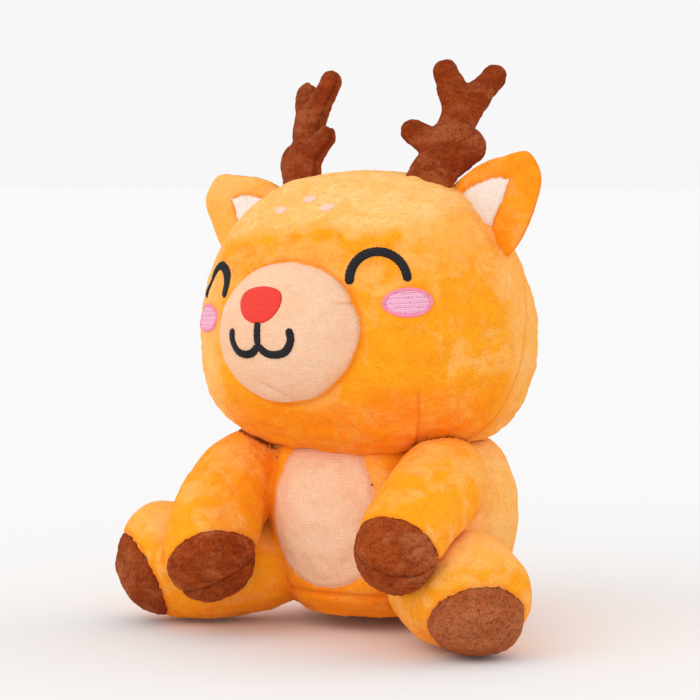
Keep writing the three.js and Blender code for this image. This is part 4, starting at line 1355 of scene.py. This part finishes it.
@dataclass
class Ear:
    """A flat leaf-shaped ear with its pale lining, made for the left and mirrored for the right.

    Attributes:
        base: The middle of its root, in the head's frame.
        tip: Its tip.
        inner_half_width: Its breadth from its middle to its upper edge.
        outer_half_width: Its breadth from its middle to its lower edge.
        tip_curl: How far the tip bends towards the upper edge.
        half_thickness: Half of its thickness.
        turn_in: How far its front is turned inwards.
        cup: How far its middle is pressed back between the rims.
    """

    head: Head
    side: Side
    base: tuple[float, float, float] = (0.0517, 0.0075, 0.092)
    tip: tuple[float, float, float] = (0.0887, 0.0044, 0.1135)
    inner_half_width: float = 0.0207
    outer_half_width: float = 0.0248
    tip_curl: float = 0.0042
    half_thickness: float = 0.006
    turn_in: float = math.radians(14.7)
    cup: float = 0.0035

    def place(self) -> tuple[Matrix, float]:
        """The ear's frame, with Z from base to tip and -Y out of its front, and its length."""
        along = Vector(self.tip) - Vector(self.base)
        front = Vector((-math.sin(self.turn_in), -math.cos(self.turn_in), 0))
        across = along.cross(front).normalized()
        facing = across.cross(along).normalized()
        return frame_of(self.base, across, -facing, along), along.length

    def build(self) -> None:
        """Makes and dresses the ear."""
        matrix, length = self.place()
        half_width = (self.inner_half_width + self.outer_half_width) / 2
        shares = [(-0.75, 0), (-0.5, 0.75), (0, 0.95), (0.4, 0.93), (0.75, 0.62), (0.95, 0.35), (1, 0)]
        curve = spline([(w * half_width, a * length) for a, w in shares], np.linspace(0, 1, 160))
        curve[:, 0] = np.maximum(curve[:, 0], 0)
        form = Lathe(curve, self.half_thickness / half_width)

        def bent(points: Array) -> Array:
            wide = np.where(points[:, 0] > 0, self.outer_half_width, self.inner_half_width) / half_width
            curl = self.tip_curl * np.clip(points[:, 2] / length, 0, None) ** 2
            return np.stack([points[:, 0] * wide - curl, points[:, 1], points[:, 2]], axis=1)

        def cupped(points: Array) -> Array:
            up = points[:, 2] / length
            inside = np.clip(1 - (points[:, 0] / half_width) ** 2, 0, 1) * np.clip(up, -0.2, 1)
            deep = np.where(points[:, 1] < 0, self.cup * 1.25, self.cup)
            moved = deep * inside * np.clip(1.15 - up, 0, 1)
            return points + moved[:, None] * np.array([0.0, 1.0, 0.0])

        skull = lambda p: self.head.form.distance(transformed(p, matrix))
        skin = Skin.ball(110, 96).move(form.shape).move(bent)
        rim = lambda p: p[:, 1]
        skin.crease(rim, 0.0005, 0.0009, 0.0002)
        skin.crease(self.lining, 0.0009, 0.0011, 0.0002)
        skin.move(cupped).lumpy((0.0006, 0.012, 30.0 + self.side.value), (0.0002, 0.005, 33.0))
        skin.rooted(skull, -0.0010)
        skin.mark("course", skin.points[:, 2])
        # The right ear, on the far side, is painted paler as sheen; the left one gets a richer tone.
        skin.mark_all("nap", -0.7 if self.side is Side.LEFT else 0.45)
        cover = skin.keep(lambda p: 0.0006 - self.lining(p))
        white = skin.keep(self.lining).fuzz(0.0016, 0.0002, 3.0)
        filling = Skin.ball(32, 28).move(form.shape).move(bent).inset(0.0033).move(cupped)
        filling.rooted(skull, 0.0020)
        set_on_head(cover, matrix, self.side, "ear", "cover", ORANGE)
        set_on_head(white, matrix, self.side, "ear", "lining", WHITE)
        set_on_head(filling, matrix, self.side, "ear", "stuffing", FILLING)

    def lining(self, points: Array) -> Array:
        """How far each point lies inside the lining's outline, on the front face."""
        across, up = points[:, 0], points[:, 2]
        levels = [0, 0.010, 0.018, 0.024, 0.0285]
        middle = np.interp(up, levels, [0.0005, -0.0017, -0.0032, -0.0039, -0.0040])
        half = np.interp(up, [*levels, 0.0365], [0.0125, 0.0112, 0.0078, 0.0044, 0.0, -0.008])
        inside = np.minimum(half - np.abs(across - middle), (0.0285 - up) * 0.8)
        return np.where(points[:, 1] < 0.0, inside, -0.01)


@dataclass(frozen=True)
class Branch:
    """One rounded, tapering branch in the antler's plane, as across and up."""

    start: tuple[float, float]
    end: tuple[float, float]
    start_radius: float
    end_radius: float

    def distance(self, points: Array) -> Array:
        """How far each point lies outside, where depth is given in shares of the width."""
        a, b = np.array([*self.start, 0.0]), np.array([*self.end, 0.0])
        run = b - a
        t = np.clip((points - a) @ run / (run @ run), 0, 1)
        radius = self.start_radius + (self.end_radius - self.start_radius) * t
        return np.linalg.norm(points - a - t[:, None] * run, axis=1) - radius

    def ball(self) -> Skin:
        """A rough closed surface round the branch."""
        a, b = Vector((*self.start, 0.0)), Vector((*self.end, 0.0))
        turn = (b - a).to_track_quat("Z", "Y").to_matrix()
        length = (b - a).length

        def stretch(p: Array) -> Array:
            high = p[:, 2] > 0
            radius = np.where(high, self.end_radius, self.start_radius)[:, None]
            q = p * radius
            q[:, 2] += np.where(high, length, 0.0)
            return q @ np.array(turn).T + np.array(a)

        return Skin.ball(24, 17).move(stretch)


@dataclass
class Antler:
    """A branched, stuffed antler of long-pile fabric, made for the left and mirrored for the right."""

    head: Head
    side: Side
    base: tuple[float, float, float] = (0.0336, 0.0009, 0.1075)
    lean: float = math.radians(32.6)
    splay: float = math.radians(10.6)
    turn_out: float = math.radians(28.8)
    flatness: float = 0.72
    branches: tuple[Branch, ...] = (
        Branch((0, -0.008), (0, 0.0427), 0.0119, 0.0079),
        Branch((0.0026, 0.0194), (-0.0166, 0.0247), 0.0086, 0.0060),
        Branch((0.0005, 0.0113), (0.0092, 0.0264), 0.0094, 0.0086),
        Branch((0, 0.0397), (-0.0146, 0.0576), 0.0082, 0.0063),
        Branch((0, 0.0397), (0.0068, 0.0630), 0.0080, 0.0060),
    )

    def place(self) -> Matrix:
        """The antler's frame: X outwards, Y up its trunk, Z out of its front."""
        along = Vector((math.sin(self.splay), math.sin(self.lean), math.cos(self.lean))).normalized()
        outward = Vector((math.cos(self.turn_out), math.sin(self.turn_out), 0))
        facing = outward.cross(along).normalized()
        return frame_of(self.base, along.cross(facing), along, facing)

    def distance(self, points: Array, inset: float = 0.0) -> Array:
        """How far each point lies outside the antler's surface."""
        flat = points / [1, 1, self.flatness]
        whole = self.branches[0].distance(flat)
        for part in self.branches[1:]:
            whole = -smooth_max(-whole, -part.distance(flat), 0.0020)
        return whole + inset

    def build(self) -> None:
        """Makes and dresses the antler."""
        matrix = self.place()
        skull = lambda p: self.head.form.distance(transformed(p, matrix))
        squeeze = lambda p: p * [1, 1, self.flatness]
        parts = [part.ball().move(squeeze) for part in self.branches]
        skin = Skin.grown(parts, 0.0013, self.distance)
        seed = 40.0 + self.side.value
        skin.lumpy((0.0004, 0.010, seed), (0.0003, 0.005, seed + 3))
        skin.crease(lambda p: p[:, 2], 0.0007, 0.0011, 0.0003)
        skin.rooted(skull, -0.0010)
        skin.fuzz(0.0021, 0.00024, seed)
        skin.mark("course", skin.points[:, 1])
        skin.mark_all("nap", -0.7)
        filling = Skin.grown(parts, 0.003, lambda p: self.distance(p, 0.0025)).rooted(skull, 0.0024)
        set_on_head(skin, matrix, self.side, "antler", "cover", BROWN)
        set_on_head(filling, matrix, self.side, "antler", "stuffing", FILLING)


@dataclass
class Tail:
    """A short upturned tail at the back."""

    torso: "Torso"
    root: tuple[float, float, float] = (0.0, 0.027, 0.038)
    half_sizes: tuple[float, float, float] = (0.010, 0.0065, 0.015)
    tucked: float = 0.007
    rise: float = math.radians(40)

    def build(self) -> None:
        """Makes and dresses the tail."""
        matrix = Matrix.Translation(self.root) @ Matrix.Rotation(-self.rise, 4, "X")
        middle = np.array([0, 0, self.half_sizes[2] - self.tucked])

        def shape(p: Array) -> Array:
            taper = 1 - 0.22 * np.clip(p[:, 2], 0, 1) ** 2
            q = p * np.array(self.half_sizes) + middle
            q[:, :2] *= taper[:, None]
            return transformed(q, matrix)

        for name, rows, depth, finish in (
            ("tail_cover", (64, 56), 0.0, ORANGE),
            ("tail_stuffing", (24, 20), 0.0026, FILLING),
        ):
            skin = Skin.ball(*rows).move(shape).inset(depth)
            if not depth:
                back = matrix.inverted()
                skin.crease(lambda p: transformed(p, back)[:, 1], 0.0006, 0.001, 0.0002)
            skin.clear_of(self.torso.form.distance, 0.0005, 0.002)
            skin.mark("course", skin.points[:, 2])
            finish_piece(skin, name, "tail", finish)


@dataclass
class CareLabel:
    """A blank folded ribbon that is caught in the base seam."""

    width: float = 0.012
    reach: float = 0.013
    bearing: float = math.radians(108)

    def build(self) -> None:
        """Makes and dresses the ribbon as one folded sheet."""
        skin = Skin.sheet(12, 48)
        turn = Matrix.Translation(BODY_AXIS) @ Matrix.Rotation(self.bearing, 4, "Z")

        def fold(p: Array) -> Array:
            run = p[:, 1] * self.reach
            out = 0.0535 + self.reach - np.abs(run) - 0.0008
            sag = 0.012 * (np.clip(out - 0.052, 0, 1) / 0.02) ** 2 * 0.35
            up = 0.0172 + 0.0006 * np.tanh(run / 0.0012) - sag
            wave = 0.0004 * np.sin(p[:, 0] * 2.1 + 0.6)
            return transformed(np.stack([p[:, 0] * self.width / 2, -out, up + wave], axis=1), turn)

        skin.move(fold)
        skin.mark("course", skin.points[:, 2])
        finish_piece(skin, "care_label", "torso", LABEL_SATIN)


# Torso


def body_outline() -> Array:
    """The torso's outline, from the middle of the base to inside the neck."""
    base, hip, waist, chest = (0.042, 0.0075), (0.053, 0.017), (0.0575, 0.033), (0.0595, 0.050)
    shoulder, neck, top = (0.0575, 0.066), (0.046, 0.084), (0.0, 0.092)
    side = spline([base, hip, waist, chest, shoulder, neck, top], np.linspace(0, 1, 240))
    side[:, 0] = np.maximum(side[:, 0], 0)
    return np.concatenate([[(0.0, 0.0075)], side])


@dataclass
class Torso:
    """The body's panels, belly patch and base."""

    form: Lathe = field(default_factory=lambda: Lathe(body_outline(), 55 / 59.5, tuple(BODY_AXIS)))
    base_seam: float = 0.017
    front_half_width: float = 0.0315

    def belly(self, points: Array) -> Array:
        """How far each point lies inside the belly patch's outline."""
        p = points - np.array(BODY_AXIS)
        upper = p[:, 2] > 0.046
        reach = np.where(upper, 0.0435, 0.0255)
        aside = 0.0025 * np.clip((p[:, 2] - 0.046) / 0.038, 0, 1)
        rho = np.hypot((p[:, 0] + aside) / 0.028, (p[:, 2] - 0.046) / reach)
        return np.where(p[:, 1] < 0, (1 - rho) * 0.028, -0.02)

    def seat(self, points: Array) -> Array:
        """Lets the back of the base bulge down to the ground, and flattens the top under the head."""
        p = points.copy()
        reach = 1 - (p[:, 0] / 0.040) ** 2 - (p[:, 1] / 0.022) ** 2
        low = 0.0165 - 0.017 * np.sqrt(np.clip(reach, 0, 1))
        below = p[:, 2] < 0.0165
        lowered = np.where(below & (reach > 0), -smooth_max(-p[:, 2], -low, 0.004), p[:, 2])
        lowered = -smooth_max(-lowered, np.full(len(p), -0.0837), 0.0015)
        p[:, 2] = np.maximum(lowered, 0.0001)
        return p

    def distance(self, points: Array) -> Array:
        """Roughly how far each point lies outside the torso."""
        return np.maximum(self.form.distance(points), points[:, 2] - 0.0835)

    def build(self, limbs: Sequence[Limb]) -> None:
        """Makes and dresses the torso's fabric."""
        skin = Skin.ball(240, 170).move(self.form.shape)
        front = lambda p: np.where(p[:, 1] < BODY_AXIS.y, self.front_half_width - np.abs(p[:, 0]), -0.02)
        base = lambda p: p[:, 2] - self.base_seam
        centre = lambda p: np.where((p[:, 1] > BODY_AXIS.y) & (p[:, 2] > 0.016), p[:, 0], 1.0)
        near_limb = lambda p: np.minimum.reduce([limb.distance(p) for limb in limbs])
        sewn = lambda p: most(
            dip(base(p), 0.006),
            dip(centre(p), 0.006),
            0.7 * dip(self.belly(p), 0.006),
            ramp(near_limb(p), 0.008, 0.001),
            ramp(p[:, 2], 0.074, 0.080),
        )
        Padding(slack=0.0004, pressure=14.0).stuff(skin, sewn)
        skin.lumpy((0.0008, 0.026, 8.0), (0.0004, 0.010, 9.0))
        skin.crease(base, 0.0013, 0.0015)
        free = lambda p: ramp(near_limb(p), 0.001, 0.006)
        skin.crease(lambda p: np.where(base(p) > -0.001, front(p), 1.0), 0.0010, 0.0014, share=free)
        skin.crease(centre, 0.0013, 0.0017)
        skin.crease(self.belly, 0.0006, 0.0012, 0.00015)
        under_arm = skin.points - np.array(spot_on(-0.051, 0.028, 0.042))
        skin.swell(0.0042 * np.exp(-((np.linalg.norm(under_arm, axis=1) / 0.013) ** 2)))
        skin.move(self.seat)
        # Each limb's joint is drawn in, and painted shade is marked in it.
        for limb in limbs:
            d = limb.distance(skin.points)
            skin.swell(-0.0009 * dip(d, 0.003))
            skin.mark("seam", 0.8 * dip(d, 0.0022))
        points = skin.points
        skin.mark("course", points[:, 2])
        # Painted light and shade: the sides are painted paler as sheen and the lower body richer as shade.
        beside = 0.8 * ramp(np.abs(points[:, 0]), 0.040, 0.052) * ramp(points[:, 2], 0.020, 0.045)
        skin.mark("nap", beside - ramp(points[:, 2], 0.034, 0.016) * (1 - beside))
        off_belly = lambda p: -self.belly(p)
        finish_piece(skin.keep(lambda p: -base(p)), "body_base_panel", "torso", ORANGE)
        finish_piece(skin.keep(base, self.belly), "belly_patch", "torso", CREAM)
        finish_piece(skin.keep(base, front, off_belly), "body_front_cover", "torso", ORANGE)
        for which in Side:
            half = lambda p, s=which.value: s * p[:, 0]
            side_panel = skin.keep(base, lambda p: -front(p), half)
            finish_piece(side_panel, f"body_side_{which.word}", "torso", ORANGE)
        filling = Skin.ball(56, 40).move(self.form.shape).inset(0.004)
        filling.move(lambda p: np.minimum(p, [9.0, 9.0, 0.0815]))
        finish_piece(filling, "body_stuffing", "torso", FILLING)
        bag = Skin.ball(40, 24).move(lambda p: p * [0.034, 0.0314, 0.009] + [0, BODY_AXIS.y, 0.0195])
        finish_piece(bag, "pellet_bag", "torso", CALICO)


# Limbs


def spot_on(side: float, forward: float, level: float) -> Vector:
    """A point given from the torso's axis."""
    return BODY_AXIS + Vector((side, -forward, level))


@dataclass
class Cap:
    """Where a hoof is sewn on: a plane square to a direction, measured from the limb's end."""

    normal: tuple[float, float, float]
    offset: float

    def field(self, limb: Limb) -> Field:
        """How far each point lies on the hoof's side."""
        normal = Vector(self.normal).normalized()
        return plane(limb.path[2] + normal * self.offset, normal)


@dataclass
class Arm:
    """One arm with its two-part hoof."""

    side: Side
    limb: Limb
    hoof: Cap
    sole: Cap

    def build(self, torso: Torso, head: Head, thigh: Limb) -> None:
        """Makes and dresses the arm."""
        skin = Skin.ball(140, 140).move(self.limb.shape)
        straight, split = self.hoof.field(self.limb), self.sole.field(self.limb)
        sewn = lambda p: most(
            dip(straight(p), 0.005),
            ramp(torso.distance(p), 0.006, 0.001),
            ramp(thigh.distance(p), 0.005, 0.001),
        )
        LIMB_PADDING.stuff(skin, sewn)
        skin.lumpy((0.0008, 0.016, 11.0), (0.0004, 0.007, 13.0))
        skin.clear_of(thigh.distance, 0.0003, 0.004)
        skin.clear_of(head.distance, 0.0012, 0.002)
        ragged = lambda p: straight(p) + 0.0005 * lumps(p, 0.0012, 3.0)
        hoof_split = lambda p: np.where(straight(p) > -0.0005, split(p), 1.0)
        skin.crease(straight, 0.0006, 0.0013, 0.00015)
        skin.crease(hoof_split, 0.0008, 0.0010, 0.0001)
        skin.cut(ragged)
        dress_root(skin, torso, straight)
        word, body = self.side.word, f"arm_{self.side.word}"
        sleeve = skin.keep(lambda p: -ragged(p))
        finish_piece(sleeve, f"arm_cover_{word}", body, ORANGE)
        for part, half in (("upper", lambda p: -split(p)), ("lower", split)):
            hoof = skin.keep(ragged, half).mark_all("nap", 0.0).fuzz(0.0017, 0.0003)
            finish_piece(hoof, f"arm_hoof_{part}_{word}", body, BROWN)
        filling = Skin.ball(32, 36).move(self.limb.shape).inset(0.005)
        filling.clear_of(thigh.distance, 0.0035, 0.002).clear_of(head.distance, 0.0045, 0.002)
        filling.rooted(torso.distance, 0.001)
        finish_piece(filling, f"arm_stuffing_{word}", body, FILLING)


def dress_root(skin: Skin, torso: Torso, course: Field, top_light: float = 0.0) -> None:
    """Draws a limb in where it is sewn to the torso, marks painted shade at that joint, ends it there and
    marks its rows; its upward faces are painted paler and its downward faces richer, as painted light and
    shade.
    """
    d = torso.distance(skin.points)
    skin.swell(-0.0014 * dip(d, 0.004))
    skin.mark("seam", 0.8 * dip(d, 0.002))
    skin.rooted(torso.distance, -0.0026)
    skin.mark("course", course(skin.points))
    # Painted light and shade by which way the fabric faces.
    upward = skin.normals[:, 2]
    skin.mark("nap", top_light * ramp(upward, 0.2, 0.8) - 0.8 * ramp(-upward, 0.1, 0.8))


@dataclass
class Leg:
    """One leg with its hoof; toe is how far the hoof leans out, as a slope."""

    side: Side
    limb: Limb
    outward: Vector
    hoof: Cap
    toe: float

    def shape(self, points: Array) -> Array:
        """Maps a unit ball onto the leg, with its hoof leant outwards."""
        made = self.limb.shape(points)
        foot, outward = np.array(self.limb.path[2]), np.array(self.outward)
        share = ramp((made - foot) @ outward, -0.020, 0.010)
        return made + outward * (share * self.toe * (made[:, 2] - foot[2]))[:, None]

    def build(self, torso: Torso) -> None:
        """Makes and dresses the leg."""
        skin = Skin.ball(140, 140).move(self.shape)
        straight = self.hoof.field(self.limb)
        sewn = lambda p: most(
            dip(straight(p), 0.005), ramp(torso.distance(p), 0.006, 0.001), ramp(p[:, 2], 0.006, 0.002)
        )
        LIMB_PADDING.stuff(skin, sewn)
        skin.lumpy((0.0008, 0.018, 21.0), (0.0004, 0.008, 23.0))
        skin.clear_of(lambda p: p[:, 2], 0.0002, 0.003)
        ragged = lambda p: straight(p) + 0.0005 * lumps(p, 0.0012, 31.0)
        skin.crease(straight, 0.0006, 0.0013, 0.00015)
        skin.cut(ragged)
        dress_root(skin, torso, straight, 0.55)
        word, body = self.side.word, f"leg_{self.side.word}"
        sleeve = skin.keep(lambda p: -ragged(p))
        finish_piece(sleeve, f"leg_cover_{word}", body, ORANGE)
        hoof = skin.keep(ragged).fuzz(0.0017, 0.0003)
        # The left hoof is made paler and the right one darker.
        hoof.mark_all("nap", 0.35 if self.side is Side.LEFT else -0.5)
        finish_piece(hoof, f"leg_hoof_{word}", body, BROWN)
        filling = Skin.ball(32, 32).move(self.shape).inset(0.005).clear_of(lambda p: p[:, 2], 0.0035, 0.002)
        filling.rooted(torso.distance, 0.001)
        finish_piece(filling, f"leg_stuffing_{word}", body, FILLING)


def make_legs() -> dict[Side, Leg]:
    """The two legs, each at its own bearing from straight ahead."""
    sizes = {
        Side.LEFT: (59, 0.049, 0.0024, (0.0165, 0.021, 0.0248, 0.0252), 0.025),
        Side.RIGHT: (58, 0.048, 0.0008, (0.0205, 0.0245, 0.0268, 0.0268), 0.026),
    }
    hooves = {
        Side.LEFT: (Cap((0.544, -0.579, -0.607), 0.0130), -0.09),
        Side.RIGHT: (Cap((-0.534, -0.739, -0.410), 0.0151), 0.13),
    }
    made = {}
    for side, (bearing, reach, fall, radii, dome) in sizes.items():
        turn = math.radians(bearing)
        outward = Vector((side.value * math.sin(turn), -math.cos(turn), 0))
        hip = spot_on(side.value * 0.0355, 0.0305, 0.027)
        foot = hip + outward * reach - Vector((0, 0, fall))
        made[side] = Leg(side, Limb((hip, (hip + foot) / 2, foot), radii, dome), outward, *hooves[side])
    return made


def make_arms() -> dict[Side, Arm]:
    """The two arms, the left one carried a little higher."""
    radii, dome = (0.0195, 0.020, 0.020, 0.0202), 0.017
    shoulder = 0.068
    left = (
        spot_on(0.046, 0.027, shoulder), spot_on(0.060, 0.054, 0.068), spot_on(0.0565, 0.0785, 0.0455),
    )
    right = (
        spot_on(-0.046, 0.027, shoulder), spot_on(-0.0585, 0.0485, 0.0575), spot_on(-0.043, 0.076, 0.0335),
    )
    return {
        Side.LEFT: Arm(
            Side.LEFT,
            Limb(left, radii, dome),
            Cap((0.088, -0.856, -0.509), 0.0022),
            Cap((-0.295, 0.519, -0.802), -0.0028),
        ),
        Side.RIGHT: Arm(
            Side.RIGHT,
            Limb(right, (0.020, 0.0211, 0.0207, 0.0202), dome),
            Cap((0.572, -0.407, -0.712), -0.0009),
            Cap((0.259, 0.403, -0.878), 0.0073),
        ),
    }


# Stage


FLOOR_GREY = 0.88
DAYLIGHT = 0.90  # the strength of the light from all round
BACKDROP = 0.93  # the brightness of the background itself
LAMPS = (  # name, where it stands, how wide it looks in degrees, strength
    ("key", (-0.50, -1.00, 0.90), 55, 0.52),
    ("front", (0.35, -1.00, 0.02), 80, 0.45),
    ("rim", (0.80, 0.90, 1.00), 40, 0.25),
)
CAMERA_BEARING = math.radians(33)  # to the toy's left of straight ahead
CAMERA_RISE = math.radians(4)
CAMERA_REACH = 1.0998
CAMERA_AIM = Vector((-0.01321, -0.03458, 0.1215))
PICTURE_WIDTH = 0.315  # what the picture spans at the toy
SENSOR_MM = 36.0


def make_stage() -> None:
    """A pale floor, soft lamps and the camera."""
    mesh = bmesh.new()
    bmesh.ops.create_grid(mesh, x_segments=1, y_segments=1, size=40.0)
    data = bpy.data.meshes.new("floor")
    mesh.to_mesh(data)
    floor = bpy.data.objects.new("floor", data)
    bpy.context.scene.collection.objects.link(floor)
    paper = bpy.data.materials.new("floor_paper")
    paper.use_nodes = True
    shader = paper.node_tree.nodes["Principled BSDF"]
    shader.inputs["Base Color"].default_value = (FLOOR_GREY, FLOOR_GREY, FLOOR_GREY, 1)
    shader.inputs["Roughness"].default_value = 0.9
    data.materials.append(paper)
    world = bpy.data.worlds.new("studio")
    world.use_nodes = True
    nodes = Nodes(world.node_tree)
    seen = nodes.add("ShaderNodeLightPath").outputs["Is Camera Ray"]
    strength = nodes.math("ADD", nodes.math("MULTIPLY", seen, BACKDROP - DAYLIGHT), DAYLIGHT)
    world.node_tree.links.new(strength, world.node_tree.nodes["Background"].inputs["Strength"])
    world.node_tree.nodes["Background"].inputs["Color"].default_value = (1.0, 1.0, 1.0, 1)
    bpy.context.scene.world = world
    for name, toward, width, power in LAMPS:
        lamp = bpy.data.lights.new(name, "SUN")
        lamp.angle, lamp.energy = math.radians(width), power
        made = bpy.data.objects.new(name, lamp)
        made.location = Vector(toward)
        made.rotation_mode = "QUATERNION"
        made.rotation_quaternion = (-Vector(toward)).to_track_quat("-Z", "Y")
        bpy.context.scene.collection.objects.link(made)
    level = math.cos(CAMERA_RISE)
    back = Vector(
        (math.sin(CAMERA_BEARING) * level, -math.cos(CAMERA_BEARING) * level, math.sin(CAMERA_RISE))
    )
    lens = bpy.data.cameras.new("camera")
    lens.sensor_width, lens.lens = SENSOR_MM, SENSOR_MM * CAMERA_REACH / PICTURE_WIDTH
    camera = bpy.data.objects.new("camera", lens)
    camera.location = CAMERA_AIM + back * CAMERA_REACH
    camera.rotation_mode = "QUATERNION"
    camera.rotation_quaternion = (-back).to_track_quat("-Z", "Y")
    bpy.context.scene.collection.objects.link(camera)
    bpy.context.scene.camera = camera


def main() -> None:
    """Builds the whole toy on its stage."""
    logging.basicConfig(level=logging.INFO, format="%(message)s")
    bpy.context.scene.view_settings.view_transform = "Standard"
    make_stage()
    head, torso = Head(), Torso()
    head.build()
    Face(head).build()
    legs, arms = make_legs(), make_arms()
    torso.build([*(leg.limb for leg in legs.values()), *(arm.limb for arm in arms.values())])
    Tail(torso).build()
    CareLabel().build()
    for side in Side:
        Ear(head, side).build()
        Antler(head, side).build()
        legs[side].build(torso)
        arms[side].build(torso, head, legs[side].limb)


if __name__ == "__main__":
    main()
